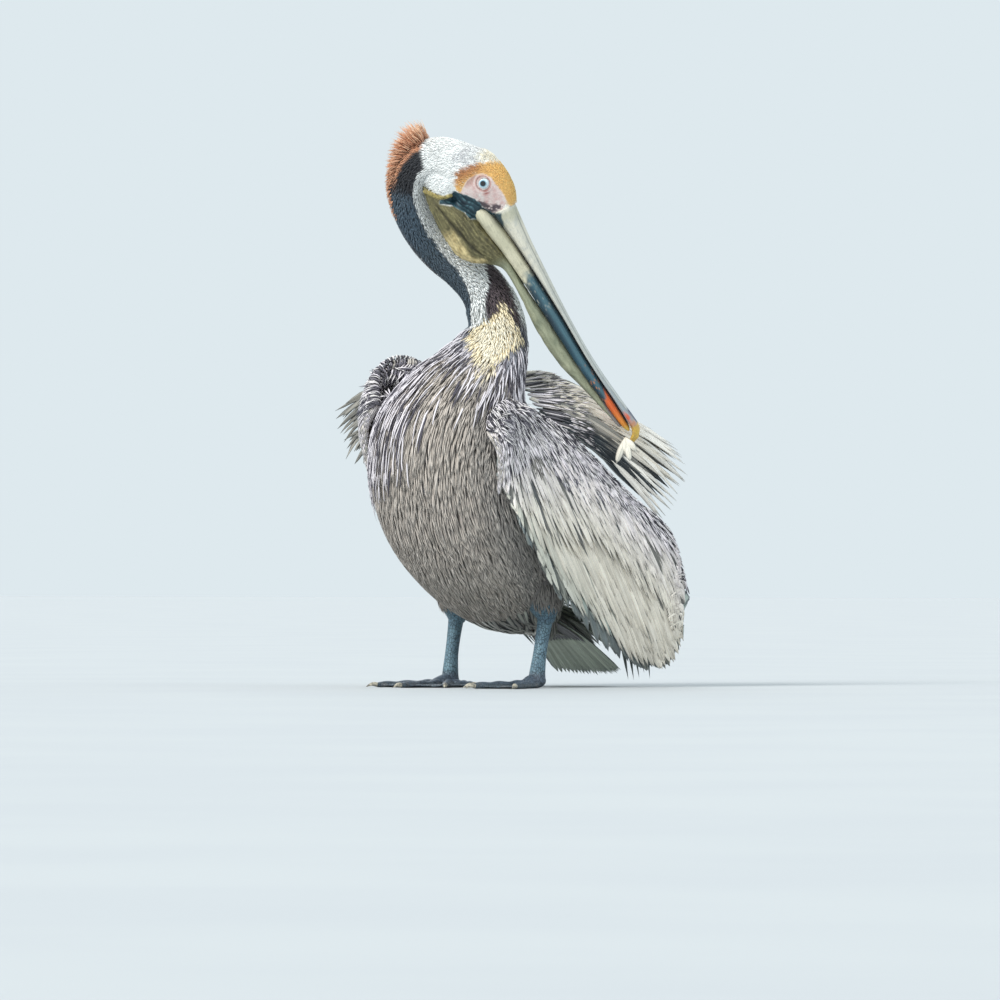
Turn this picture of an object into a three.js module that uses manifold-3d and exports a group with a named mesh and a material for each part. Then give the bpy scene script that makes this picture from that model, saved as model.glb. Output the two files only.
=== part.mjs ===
// Brown pelican, life size: an adult standing on both feet, the body upright,
// the head turned to its left with the bill laid back onto the raised left
// scapular feathers, the left wing hung open and the right wrist lifted.
//
// Millimetres. +Z up, floor at z = 0. The bird faces -Y and its left is +X.
import * as THREE from "three";
import { mergeVertices } from "three/addons/utils/BufferGeometryUtils.js";
import Module from "manifold-3d";

// ---------------------------------------------------------------- dimensions
const GAP = 0.4; // clearance between neighbouring pieces
const SKIRT = 0.7; // growth of a tool that trims its neighbour
const SHIFT = [14, -78, 0]; // puts the middle of the whole under the origin

const TURN = THREE.MathUtils.degToRad(40); // the neck and bill lie near a plane turned this far to the left
const BILL_LENGTH = 330;
const EYE_RADIUS = 9.6;
const EYE_AT = { f: -43.5, h: -5.5, r: 19.2 }; // along the bill, above it, to the side
const HEAD_ORIGIN = [54, 583, 45]; // across, up, out: middle of the bill base
const HEAD_FORWARD = [0.468, -0.865, -0.185];
const HEAD_ROLL = THREE.MathUtils.degToRad(10);

const WING_GAP = 1.8; // between the bands of a wing
const WING_COLUMNS = 14;
const FEATHER_TIP = 2.2; // thickness at the free tips of feather groups
const TOE_RADIUS = 5.6;
const WEB_THICKNESS = 3.2;
const HEEL_LEFT = [69, 62],
  HEEL_RIGHT = [-70, 62];
const LEAN_LEFT = 20,
  LEAN_RIGHT = 11; // how far back the top of each shank stands
const SHANK_TOP_Z = 100,
  ANKLE_Z = 15;

// ------------------------------------------------------------------- library
const wasm = await Module();
wasm.setup();

const v3 = (a) => new THREE.Vector3(a[0], a[1], a[2]);
// The turned plane's own axes: across, up and out, given in the bird's frame.
const E_ACROSS = new THREE.Vector3(Math.cos(TURN), Math.sin(TURN), 0);
const E_OUT = new THREE.Vector3(Math.sin(TURN), -Math.cos(TURN), 0);
const E_UP = new THREE.Vector3(0, 0, 1);
const turned = ([u, z, d]) =>
  new THREE.Vector3()
    .addScaledVector(E_ACROSS, u)
    .addScaledVector(E_UP, z)
    .addScaledVector(E_OUT, d);

// Smooth interpolation of a table of numbers: rows of [key, ...values].
function table(rows) {
  const keys = rows.map((r) => r[0]);
  return (k) => {
    let i = 0;
    while (i < keys.length - 2 && k > keys[i + 1]) i++;
    const h = keys[i + 1] - keys[i];
    const x = Math.min(1, Math.max(0, (k - keys[i]) / h));
    return rows[i].slice(1).map((_, c) => {
      const y0 = rows[i][c + 1],
        y1 = rows[i + 1][c + 1];
      const ya = i > 0 ? rows[i - 1][c + 1] : y0,
        yb = i < rows.length - 2 ? rows[i + 2][c + 1] : y1;
      const ha = i > 0 ? keys[i + 1] - keys[i - 1] : h,
        hb = i < rows.length - 2 ? keys[i + 2] - keys[i] : h;
      const m0 = ((y1 - ya) / ha) * h,
        m1 = ((yb - y0) / hb) * h;
      const x2 = x * x,
        x3 = x2 * x;
      return (
        (2 * x3 - 3 * x2 + 1) * y0 +
        (x3 - 2 * x2 + x) * m0 +
        (-2 * x3 + 3 * x2) * y1 +
        (x3 - x2) * m1
      );
    });
  };
}

// A solid from a geometry whose seams are merged.
function solid(geometry) {
  geometry.deleteAttribute("normal");
  geometry.deleteAttribute("uv");
  const g = mergeVertices(geometry, 1e-4);
  // Faces that merging has collapsed are dropped.
  const index = [];
  for (let i = 0; i < g.index.count; i += 3) {
    const [a, b, c] = [g.index.getX(i), g.index.getX(i + 1), g.index.getX(i + 2)];
    if (a !== b && b !== c && a !== c) index.push(a, b, c);
  }
  const make = (triVerts) =>
    new wasm.Manifold(
      new wasm.Mesh({
        numProp: 3,
        vertProperties: new Float32Array(g.attributes.position.array),
        triVerts: new Uint32Array(triVerts),
      }),
    );
  const s = make(index);
  if (s.volume() > 0) return s;
  for (let i = 0; i < index.length; i += 3)
    [index[i + 1], index[i + 2]] = [index[i + 2], index[i + 1]];
  return make(index);
}

// The largest single body of a solid.
function largest(s) {
  const bodies = s.decompose();
  bodies.sort((a, b) => b.volume() - a.volume());
  return bodies[0];
}
const trim = (s, ...tools) =>
  largest(tools.reduce((left, tool) => left.subtract(tool), s));
const union = (...parts) => parts.reduce((a, b) => a.add(b));

// A tapering body swept along a path. at(t) gives the centre, the side and back
// directions and the half sizes; the ends are flat discs, or domes where dome
// names the share of the length that rounds off.
function sweep(at, t0, t1, rings, around, { domeA = 0, domeB = 0, grow = 0 } = {}) {
  const g = new THREE.SphereGeometry(1, around, rings + 1);
  const p = g.attributes.position;
  const cols = around + 1;
  for (let row = 0; row <= rings + 1; row++) {
    const k = Math.min(1, Math.max(0, (row - 1) / (rings - 1)));
    let share = k;
    // Rings crowd towards a domed end so that it stays round.
    if (domeA) share = share - (1 - share) * 0.5 * Math.sin(share * Math.PI) * 0.5;
    if (domeB) share = share + share * 0.5 * Math.sin(share * Math.PI) * 0.5;
    const t = t0 + (t1 - t0) * share;
    let scale = 1;
    if (domeA && share < domeA)
      scale = Math.sqrt(Math.max(0.02, 1 - (1 - share / domeA) ** 2));
    if (domeB && 1 - share < domeB)
      scale *= Math.sqrt(Math.max(0.02, 1 - (1 - (1 - share) / domeB) ** 2));
    const pole = row === 0 || row === rings + 1;
    const s = at(t);
    for (let c = 0; c < cols; c++) {
      const q = (2 * Math.PI * (c % around)) / around;
      const cc = Math.cos(q),
        ss = Math.sin(q);
      const e = 2 / (s.n ?? 2);
      const x = Math.sign(cc) * Math.abs(cc) ** e,
        y = Math.sign(ss) * Math.abs(ss) ** e;
      const b = (y > 0 ? s.up : s.down) + grow,
        a = s.side + grow;
      const w = s.c
        .clone()
        .addScaledVector(s.x, pole ? 0 : x * a * scale)
        .addScaledVector(s.y, pole ? 0 : y * b * scale);
      p.setXYZ(row * cols + c, w.x, w.y, w.z);
    }
  }
  return solid(g);
}

// A sheet with thickness. at(s, t) gives its middle surface, thick(s, t) the
// full thickness; it is bent from a flat box of columns by rows. Where another
// surface, lie, is given, the thickness is laid off square to that one.
function sheet(at, thick, cols, rows, { s0 = 0, s1 = 1, t0 = 0, t1 = 1, inner = 0.5, lie = at } = {}) {
  const g = new THREE.BoxGeometry(1, 1, 1, cols, rows, 1);
  const p = g.attributes.position;
  const e = 1e-3;
  for (let i = 0; i < p.count; i++) {
    const s = s0 + (s1 - s0) * (p.getX(i) + 0.5),
      t = t0 + (t1 - t0) * (p.getY(i) + 0.5),
      k = p.getZ(i) > 0 ? 1 - inner : -inner;
    const c = at(s, t);
    const ds = lie(s + e, t).sub(lie(s - e, t)),
      dt = lie(s, t + e).sub(lie(s, t - e));
    const n = ds.cross(dt).normalize();
    c.addScaledVector(n, k * thick(s, t));
    p.setXYZ(i, c.x, c.y, c.z);
  }
  return solid(g);
}

function block(x0, x1, y0, y1, z0, z1) {
  return solid(
    new THREE.BoxGeometry(x1 - x0, y1 - y0, z1 - z0).translate(
      (x0 + x1) / 2,
      (y0 + y1) / 2,
      (z0 + z1) / 2,
    ),
  );
}

// ------------------------------------------------------- body, neck and head
// One line runs from the root of the tail up the trunk and neck, over the nape
// and down to the bill. Each row: centre, half width, half depth on the back
// and on the belly side, and the back direction there.
const ROWS = [
  // trunk, in the bird's frame
  { c: v3([0, 156, 84]), a: 24, bu: 15, bd: 14, y: v3([0, 0.75, 0.66]) },
  { c: v3([0, 130, 103]), a: 50, bu: 32, bd: 45, y: v3([0, 0.74, 0.68]) },
  { c: v3([0, 92, 138]), a: 82, bu: 58, bd: 80, y: v3([0, 0.74, 0.68]) },
  { c: v3([1, 48, 186]), a: 106, bu: 82, bd: 102, y: v3([0, 0.8, 0.6]) },
  { c: v3([3, 6, 243]), a: 115, bu: 92, bd: 110, y: v3([0, 0.92, 0.38]) },
  { c: v3([5, -10, 300]), a: 108, bu: 86, bd: 102, y: v3([0.03, 1, 0.05]) },
  { c: v3([12, -2, 345]), a: 86, bu: 68, bd: 80, y: v3([0.06, 0.97, -0.2]) },
  { c: v3([19, 14, 380]), a: 62, bu: 50, bd: 57, y: v3([0.1, 0.93, -0.3]) },
  { c: v3([24, 29, 410]), a: 46, bu: 40, bd: 43, y: v3([0.0, 0.98, -0.2]) },
  // neck and head, in the turned plane
  { c: turned([44, 440, -10]), a: 35, bu: 33, bd: 34, y: turned([-0.05, 0, -1]) },
  { c: turned([38, 466, -9]), a: 32, bu: 29, bd: 30, y: turned([-0.2, 0, -1]) },
  { c: turned([26, 489, -10]), a: 30, bu: 27, bd: 28, y: turned([-0.5, -0.2, -0.9]) },
  { c: turned([3, 512, -10]), a: 28, bu: 26, bd: 26, y: turned([-0.6, -0.5, -0.6]) },
  { c: turned([-20, 529, -6]), a: 26, bu: 25, bd: 25, y: turned([-0.7, -0.5, -0.35]) },
  { c: turned([-39, 549, 1]), a: 25, bu: 25, bd: 24, y: turned([-0.85, -0.5, -0.25]) },
  { c: turned([-56, 580, 14]), a: 25, bu: 26, bd: 23, y: turned([-0.95, -0.3, -0.2]) },
  { c: turned([-61, 611, 27]), a: 26, bu: 27, bd: 23, y: turned([-1, 0.12, -0.1]) },
  { c: turned([-50, 634, 38]), a: 28, bu: 28, bd: 23, y: turned([-0.75, 0.66, 0]) },
  { c: turned([-26, 642, 46]), a: 29, bu: 28, bd: 26, y: turned([-0.05, 1, 0.05]) },
  { c: turned([2, 636, 51]), a: 29.5, bu: 27, bd: 34, y: turned([0.4, 0.91, 0.1]) },
  { c: turned([25, 622, 53]), a: 28, bu: 29, bd: 40, y: turned([0.68, 0.72, 0.15]) },
  { c: turned([44, 602, 49]), a: 22.5, bu: 23.5, bd: 33, y: turned([0.84, 0.53, 0.16]) },
  { c: turned([54, 583, 45]), a: 17, bu: 15.5, bd: 20, y: turned([0.882, 0.441, 0.171]) },
];
const LAST = ROWS.length - 1;
const spineCurve = new THREE.CatmullRomCurve3(
  ROWS.map((r) => r.c),
  false,
  "centripetal",
);
const sizes = table(
  ROWS.map((r, i) => [i, r.a, r.bu, r.bd, r.y.x, r.y.y, r.y.z]),
);
// k runs over the rows: 0 at the tail, LAST at the bill.
function spine(k) {
  const u = k / LAST;
  const c = spineCurve.getPoint(u);
  const tangent = spineCurve.getTangent(u);
  const [side, up, down, yx, yy, yz] = sizes(k);
  const y = new THREE.Vector3(yx, yy, yz);
  y.addScaledVector(tangent, -y.dot(tangent)).normalize();
  const x = new THREE.Vector3().crossVectors(y, tangent).normalize();
  return { c, x, y, side, up, down, n: 2 };
}
const CUTS = { neck: 8.3, mid: 11.5, upper: 14.6, head: 18.75 };
const between = (a, b) => spineCurve.getPoint(a / LAST).distanceTo(spineCurve.getPoint(b / LAST));
// The share of a row that one clearance takes up at row k.
const gapAt = (k) => GAP / (between(k - 0.05, k + 0.05) / 0.1);

const trunkBody = (grow = 0) =>
  sweep(spine, 0, CUTS.neck - (grow ? 0 : gapAt(CUTS.neck)), 17, 24, { domeA: 0.12, grow });
const neckBody = (grow = 0) =>
  sweep(spine, CUTS.neck - 0.3, CUTS.head + 0.6, 19, 14, { grow });

const trunk = trunkBody();
const neckLower = sweep(spine, CUTS.neck, CUTS.mid - gapAt(CUTS.mid), 7, 16);
const neckMid = sweep(spine, CUTS.mid, CUTS.upper - gapAt(CUTS.upper), 6, 16);
const neckUpper = sweep(spine, CUTS.upper, CUTS.head - gapAt(CUTS.head), 11, 16);

// ------------------------------------------------------------------- head
const F = turned(HEAD_FORWARD).normalize();
const sideFlat = E_OUT.clone().addScaledVector(F, -E_OUT.dot(F)).normalize();
const upFlat = new THREE.Vector3().crossVectors(sideFlat, F);
const U = upFlat
  .clone()
  .multiplyScalar(Math.cos(HEAD_ROLL))
  .addScaledVector(sideFlat, Math.sin(HEAD_ROLL))
  .normalize();
const R = new THREE.Vector3().crossVectors(F, U).normalize(); // the bird's right
const H0 = turned(HEAD_ORIGIN);
const inHead = (f, h, r) =>
  H0.clone().addScaledVector(F, f).addScaledVector(U, h).addScaledVector(R, r);

const eyeBall = (side, radius) => {
  const c = inHead(EYE_AT.f, EYE_AT.h, side * EYE_AT.r);
  return solid(new THREE.SphereGeometry(radius, 10, 8).translate(c.x, c.y, c.z));
};
const eyeRight = eyeBall(1, EYE_RADIUS);
const eyeLeft = eyeBall(-1, EYE_RADIUS);
// The cheek fills the inside of the bend down to the gape, on both sides.
const oval = (f, h, r, rf, rh, rr) => {
  const m = new THREE.Matrix4()
    .makeBasis(F, U, R)
    .setPosition(inHead(f, h, r));
  const g = new THREE.SphereGeometry(1, 9, 5).scale(rf, rh, rr).applyMatrix4(m);
  return solid(g);
};
const CHEEKS = [oval(-66, -50, -3, 30, 27, 22), oval(-30, -33, 0, 31, 17, 19)];
const bendTool = sweep(spine, CUTS.upper - 1, CUTS.head - gapAt(CUTS.head) * 0.4, 11, 12, { grow: 2 * SKIRT });
const head = trim(
  union(sweep(spine, CUTS.head, LAST - 0.03, 9, 16), ...CHEEKS.map((c) => trim(c, bendTool))),
  eyeBall(1, EYE_RADIUS + GAP),
  eyeBall(-1, EYE_RADIUS + GAP),
);

// Nape crest: a low ridge over the back of the bend that ends in ragged tips.
const crestHeight = table([
  [14.9, 1],
  [15.6, 2.6],
  [16.3, 6],
  [16.8, 12],
  [17.2, 22],
  [17.5, 27],
  [17.75, 20],
  [17.98, 3],
]);
const CREST = { from: 14.9, to: 17.98, half: THREE.MathUtils.degToRad(34) };
function crestSolid() {
  const g = new THREE.BoxGeometry(1, 1, 1, 13, 4, 1);
  const p = g.attributes.position;
  for (let i = 0; i < p.count; i++) {
    const k = CREST.from + (CREST.to - CREST.from) * (p.getX(i) + 0.5);
    const w = p.getY(i) * 2;
    const q = Math.PI / 2 + CREST.half * w;
    const s = spine(k);
    const outer = p.getZ(i) > 0;
    const ragged = 1 - 0.16 * (Math.round((p.getX(i) + 0.5) * 13) % 2);
    const lift = outer
      ? 1.8 + crestHeight(k)[0] * ragged * (1 - w * w) ** 1.2
      : -2;
    const c = s.c
      .clone()
      .addScaledVector(s.x, Math.cos(q) * (s.side + lift))
      .addScaledVector(s.y, Math.sin(q) * (s.up + lift));
    p.setXYZ(i, c.x, c.y, c.z);
  }
  return solid(g);
}
const crest = trim(
  crestSolid(),
  sweep(spine, CUTS.upper, CUTS.head - gapAt(CUTS.head), 11, 16, { grow: SKIRT }),
);

// ------------------------------------------------------------- bill and pouch
// [distance from the base, culmen, cutting edge, lower edge, half width]
const BILL = table([
  [-2, 13.6, -16, -36, 19],
  [20, 11.8, -12, -33, 18.5],
  [50, 9.6, -8, -27.5, 17.5],
  [100, 7.8, -3.6, -22, 16.2],
  [150, 6.6, 0, -18, 15.8],
  [200, 7.2, 1.8, -13.6, 16],
  [235, 9.4, 4.4, -10, 16.3],
  [270, 13.8, 7.8, -4.6, 15.8],
  [300, 18.2, 9.2, 0, 13.5],
  [316, 18.6, 9.2, 1.6, 9.5],
  [BILL_LENGTH - 4, 12, 2, 4, 4.5],
]);
function billUpperAt(f) {
  const [top, edge, , half] = BILL(f);
  const hook = Math.max(0, f - 306) / 24;
  const low = edge - 5.5 * hook * hook;
  const c = (top + low) / 2;
  return {
    c: inHead(f, c, 0),
    x: R,
    y: U,
    side: half,
    up: (top - low) / 2,
    down: (top - low) / 2,
    n: 2.4,
  };
}
function billLowerAt(f) {
  const [, edge, low, half] = BILL(f);
  const top = edge - 0.8;
  const c = (top + low) / 2;
  return {
    c: inHead(f, c, 0),
    x: R,
    y: U,
    side: half - 1.5,
    up: (top - c) * 0.98,
    down: c - low,
    n: 2.6,
  };
}
const BILL_START = 1.2;
const billUpper = sweep(billUpperAt, BILL_START, BILL_LENGTH - 2, 14, 12, { domeB: 0.07 });
const billUpperTool = sweep(billUpperAt, BILL_START - 2, BILL_LENGTH, 14, 12, { domeB: 0.07, grow: SKIRT });
const headTool = union(
  sweep(spine, CUTS.head - 0.5, LAST, 9, 16, { grow: SKIRT }),
  oval(-66, -50, -3, 30 + SKIRT, 27 + SKIRT, 22 + SKIRT),
  oval(-30, -33, 0, 31 + SKIRT, 17 + SKIRT, 19 + SKIRT),
);
const billLower = trim(
  sweep(billLowerAt, -10, 313, 13, 12, { domeA: 0.05, domeB: 0.05 }),
  billUpperTool,
  headTool,
);
const billLowerTool = sweep(billLowerAt, -12, 315, 13, 12, { domeA: 0.05, domeB: 0.05, grow: SKIRT });

// The skin pouch: a folded lobe under the jaw, then a strip along the bill.
// [distance, middle height, half height, middle offset to the right, half width]
const POUCH = table([
  [-68, -73, 4, 3, 6],
  [-45, -68, 13, 4, 13],
  [-20, -62, 20.5, 5, 17],
  [5, -58, 23.5, 6, 17.5],
  [25, -54, 24, 6, 16.5],
  [40, -47, 19, 5, 15],
  [52, -37, 11, 2, 13],
  [64, -31, 6, 0, 12],
  [100, -29, 5.5, 0, 12],
  [150, -27, 9.6, 0, 11.5],
  [200, -22.5, 9.4, 0, 11],
  [235, -15.5, 6.2, 0, 10],
  [270, -8, 4, 0, 8.5],
  [304, -1.5, 2.2, 0, 5],
]);
function pouchAt(f) {
  const [h, hh, r, rw] = POUCH(f);
  return { c: inHead(f, h, r), x: R, y: U, side: rw, up: hh, down: hh, n: 2.1 };
}
const pouch = trim(
  sweep(pouchAt, -68, 304, 18, 10, { domeA: 0.06, domeB: 0.04 }),
  billUpperTool,
  billLowerTool,
  headTool,
  neckBody(SKIRT),
);

// ------------------------------------------------------------------- wings
// Each wing is a hanging sheet of feathers. ROOT follows the arm from the wrist
// over the shoulder back to the elbow and on to the innermost feathers; TIP is
// the free lower edge under each of those places.
const WING_LEFT = {
  root: [
    [0.0, 101, -66, 312],
    [0.14, 96, -50, 338],
    [0.28, 88, -16, 353],
    [0.42, 95, 24, 340],
    [0.58, 114, 64, 306],
    [0.74, 136, 150, 235],
    [0.89, 146, 218, 186],
    [1.0, 139, 248, 124],
  ],
  tip: [
    [0.0, 112, -62, 256],
    [0.14, 121, -40, 212],
    [0.28, 122, 15, 134],
    [0.42, 116, 80, 78],
    [0.58, 110, 150, 33],
    [0.74, 112, 216, 20],
    [0.89, 122, 254, 32],
    [1.0, 134, 262, 82],
  ],
  side: 1,
  bulge: 15,
};
const WING_RIGHT = {
  root: [
    [0.0, -108, -32, 342],
    [0.14, -117, -18, 383],
    [0.28, -106, 8, 402],
    [0.42, -88, 46, 386],
    [0.58, -76, 90, 340],
    [0.74, -66, 138, 276],
    [0.89, -58, 180, 216],
    [1.0, -52, 208, 168],
  ],
  tip: [
    [0.0, -124, -30, 278],
    [0.14, -138, -8, 262],
    [0.28, -140, 36, 232],
    [0.42, -132, 86, 184],
    [0.58, -122, 142, 138],
    [0.74, -112, 196, 106],
    [0.89, -98, 230, 96],
    [1.0, -84, 240, 112],
  ],
  side: -1,
  bulge: 14,
};
function wingSurface(w) {
  const root = table(w.root),
    tip = table(w.tip);
  return (s, t) => {
    const a = v3(root(s)),
      b = v3(tip(s));
    const c = a.lerp(b, t);
    // The sheet bellies outwards, most near its upper third.
    const belly = w.bulge * Math.sin(Math.PI * Math.min(1, Math.max(0, t)) ** 0.75);
    c.x += w.side * belly * 0.9;
    c.y -= belly * 0.25;
    c.z += belly * 0.15;
    return c;
  };
}
const wingThick = (s, t) =>
  FEATHER_TIP + (s < 0.2 ? 20 - 40 * s : 12) * Math.max(0, 1 - t) ** 0.8 + 3 * (1 - t);
// Free edges end in feather tips: a row of rounded points.
const scallop = (s, count, depth) =>
  1 - depth * (1 - Math.abs(Math.sin(Math.PI * s * count)) ** 0.6);

function wingPieces(w) {
  const root = table(w.root),
    tip = table(w.tip),
    at = wingSurface(w);
  const edge = (s) => scallop(s, WING_COLUMNS / 2, 0.07);
  const line1 = 0.26,
    line2 = 0.68;
  // Each band starts a little below the one above it.
  const below = (s) => WING_GAP / v3(root(s)).distanceTo(v3(tip(s)));
  const band = (t0, t1, rows, drop, pointed) =>
    sheet(
      (s, t) => {
        const u = t0 + (t - t0) * (pointed && t > t0 + 0.2 ? edge(s) : 1);
        return at(s, u + (drop ? below(s) * (1 - (t - t0) / (t1 - t0)) : 0));
      },
      wingThick,
      WING_COLUMNS,
      rows,
      { t0, t1, lie: at },
    );
  // At the rear the bands are sheared, and the arm itself cuts the coverts back.
  const armTool = sheet(at, (s, t) => wingThick(s, t) + SKIRT, WING_COLUMNS, 2, { t0: 0, t1: line1 });
  return {
    arm: band(0, line1, 2, false, false),
    coverts: trim(band(line1, line2, 3, true, false), armTool),
    secondaries: band(line2, 1, 2, true, true),
  };
}
const wingTool = (w) =>
  sheet(wingSurface(w), (s, t) => wingThick(s, t) + 2 * SKIRT, WING_COLUMNS, 6, {
    s0: -0.006,
    s1: 1.006,
    t0: -0.006,
    t1: 1.006,
  });

// Folded primaries: a narrow bundle under the wing, ending at floor level.
function primaries(rootA, rootB, tipA, tipB, side) {
  const [a, b, c, d] = [rootA, rootB, tipA, tipB].map(v3);
  const at = (s, t) => {
    const p = a.clone().lerp(b, s).lerp(c.clone().lerp(d, s), t);
    p.x += side * 4 * Math.sin(Math.PI * t);
    return p;
  };
  const round = (s, t) => at(s, t * (1 - 0.16 * (2 * s - 1) ** 2 * t));
  return sheet(round, (s, t) => 3 + 5 * (1 - t), 7, 4, { lie: at });
}

// Scapulars: long loose feathers rooted on the shoulder.
function scapularSurface(root, tip, lift) {
  const a = table(root),
    b = table(tip);
  return (s, t) => {
    const p = v3(a(s)).lerp(v3(b(s)), t);
    p.z += lift * Math.sin(Math.PI * Math.min(1, Math.max(0, t)));
    return p;
  };
}
const SCAPULARS_LEFT = {
  root: [
    [0, 26, 66, 386],
    [0.25, 48, 60, 377],
    [0.5, 67, 55, 364],
    [0.75, 81, 58, 343],
    [1, 92, 66, 325],
  ],
  tip: [
    [0, 84, 170, 346],
    [0.25, 136, 224, 302],
    [0.5, 165, 237, 264],
    [0.75, 158, 224, 224],
    [1, 146, 208, 200],
  ],
  lift: 14,
};
const SCAPULARS_RIGHT = {
  root: [
    [0, 12, 72, 392],
    [0.25, -16, 72, 394],
    [0.5, -42, 70, 396],
    [0.75, -64, 66, 398],
    [1, -84, 60, 398],
  ],
  tip: [
    [0, 0, 178, 246],
    [0.25, -30, 202, 224],
    [0.5, -58, 216, 216],
    [0.75, -86, 214, 222],
    [1, -112, 196, 238],
  ],
  lift: 12,
};
function scapulars(w) {
  const at = scapularSurface(w.root, w.tip, w.lift);
  const tipped = (s, t) => at(s, t * (t > 0.6 ? scallop(s, 6, 0.2) : 1));
  return sheet(tipped, (s, t) => FEATHER_TIP + 8 * (1 - t) ** 0.7, 18, 4);
}

// Inner feathers of the open left wing, between its ridge and the back.
const TERTIALS_LEFT = {
  outer: [
    [0, 104, 66, 300],
    [0.4, 126, 146, 232],
    [0.75, 134, 208, 180],
    [1, 128, 238, 126],
  ],
  inner: [
    [0, 56, 80, 300],
    [0.4, 46, 124, 240],
    [0.75, 54, 164, 180],
    [1, 78, 206, 122],
  ],
};
function tertialsSolid() {
  const a = table(TERTIALS_LEFT.outer),
    b = table(TERTIALS_LEFT.inner);
  const at = (s, t) => {
    const p = v3(a(t)).lerp(v3(b(t)), s);
    p.y += 12 * Math.sin(Math.PI * Math.min(1, Math.max(0, s)));
    return p;
  };
  const tipped = (s, t) => at(s, t * (t > 0.7 ? scallop(s, 4, 0.1) : 1));
  return sheet(tipped, (s, t) => 2.6 + 4 * (1 - t), 8, 4);
}

const trunkTool = trunkBody(SKIRT);
const neckTool = neckBody(SKIRT);
const left = wingPieces(WING_LEFT);
const right = wingPieces(WING_RIGHT);
const wingLeftTool = wingTool(WING_LEFT);
const wingRightTool = wingTool(WING_RIGHT);
for (const k of ["arm", "coverts", "secondaries"]) {
  left[k] = trim(left[k], trunkTool);
  right[k] = trim(right[k], trunkTool);
}
const primariesLeft = trim(
  primaries([103, 96, 118], [112, 160, 132], [91, 212, 4.5], [103, 242, 4.5], 1),
  wingLeftTool,
  trunkTool,
);
const primariesRight = trim(
  primaries([-104, 110, 168], [-102, 160, 180], [-60, 218, 46], [-74, 244, 56], -1),
  wingRightTool,
  trunkTool,
);
const scapularsLeft = trim(
  scapulars(SCAPULARS_LEFT),
  trunkTool,
  neckTool,
  wingLeftTool,
  billUpperTool,
  billLowerTool,
);
const scapularsTool = sheet(
  scapularSurface(SCAPULARS_LEFT.root, SCAPULARS_LEFT.tip, SCAPULARS_LEFT.lift),
  (s, t) => FEATHER_TIP + 2 * SKIRT + 8 * Math.max(0, 1 - t) ** 0.7,
  18,
  4,
  { s0: -0.01, s1: 1.01, t0: -0.01, t1: 1.01 },
);
const tertialsLeft = trim(tertialsSolid(), trunkTool, wingLeftTool, scapularsTool);
const scapularsRight = trim(scapulars(SCAPULARS_RIGHT), trunkTool, neckTool, wingRightTool);

// A few loose coverts stand off the right wrist, pointing out and down.
const RUFFLED = {
  root: [
    [0, -114, 6, 376],
    [0.35, -120, -2, 352],
    [0.7, -122, -12, 322],
    [1, -120, -20, 300],
  ],
  tip: [
    [0, -196, -8, 341],
    [0.25, -195, -10, 320],
    [0.5, -184, -12, 298],
    [0.75, -181, -14, 272],
    [1, -150, -20, 257],
  ],
  lift: 9,
};
function ruffledSolid() {
  const at = scapularSurface(RUFFLED.root, RUFFLED.tip, RUFFLED.lift);
  const tipped = (s, t) => at(s, t * (t > 0.3 ? scallop(s, 5, 0.34 * t) : 1));
  return sheet(tipped, (s, t) => FEATHER_TIP + 2 * (1 - t), 10, 2);
}
const ruffled = trim(ruffledSolid(), wingRightTool, trunkTool);

// ------------------------------------------------------------------- tail
// A short fan of 22 stiff feathers, hung down and back to just above the floor.
const TAIL = { root: [0, 142, 90], tip: [5, 264, 2.5], half0: 24, half1: 55 };
function tailSolid() {
  const a = v3(TAIL.root),
    b = v3(TAIL.tip);
  const at = (s, t) => {
    const w = 2 * s - 1;
    const reach = t * (1 - 0.14 * w * w) * (t > 0.6 ? scallop(s, 7, 0.05) : 1);
    const p = a.clone().lerp(b, reach);
    p.x += w * (TAIL.half0 + (TAIL.half1 - TAIL.half0) * t);
    p.z += 6 * (1 - w * w) + 5 * Math.sin(Math.PI * t) - 2;
    return p;
  };
  return sheet(at, (s, t) => FEATHER_TIP + 12 * (1 - t) ** 1.2, 14, 2);
}
const tail = trim(tailSolid(), trunkTool, wingLeftTool, wingRightTool);

// ------------------------------------------------------------------- legs
function shankAt(heel, side, lean) {
  const path = table([
    [0, heel[0], heel[1], ANKLE_Z, 9.6, 11.6],
    [0.15, heel[0], heel[1] + lean * 0.08, ANKLE_Z + 13, 8.3, 10],
    [0.5, heel[0] - side * 0.5, heel[1] + lean * 0.5, ANKLE_Z + 42, 8, 9.6],
    [0.85, heel[0] - side * 1.5, heel[1] + lean * 0.9, ANKLE_Z + 72, 9.2, 11],
    [1, heel[0] - side * 2, heel[1] + lean, SHANK_TOP_Z, 10.5, 12.5],
  ]);
  return (t) => {
    const [x, y, z, a, b] = path(t);
    return {
      c: v3([x, y, z]),
      x: new THREE.Vector3(1, 0, 0),
      y: new THREE.Vector3(0, 1, 0),
      side: a,
      up: b,
      down: b,
    };
  };
}
function thighAt(heel, side, lean) {
  const path = table([
    [0, heel[0] - side * 2, heel[1] + lean, SHANK_TOP_Z - 27, 14, 16],
    [0.4, heel[0] - side * 4, heel[1] + lean - 3, SHANK_TOP_Z - 3, 24, 28],
    [1, heel[0] - side * 14, heel[1] + lean - 18, SHANK_TOP_Z + 55, 32, 40],
  ]);
  return (t) => {
    const [x, y, z, a, b] = path(t);
    return {
      c: v3([x, y, z]),
      x: new THREE.Vector3(1, 0, 0),
      y: new THREE.Vector3(0, 1, 0),
      side: a,
      up: b,
      down: b,
    };
  };
}

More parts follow.
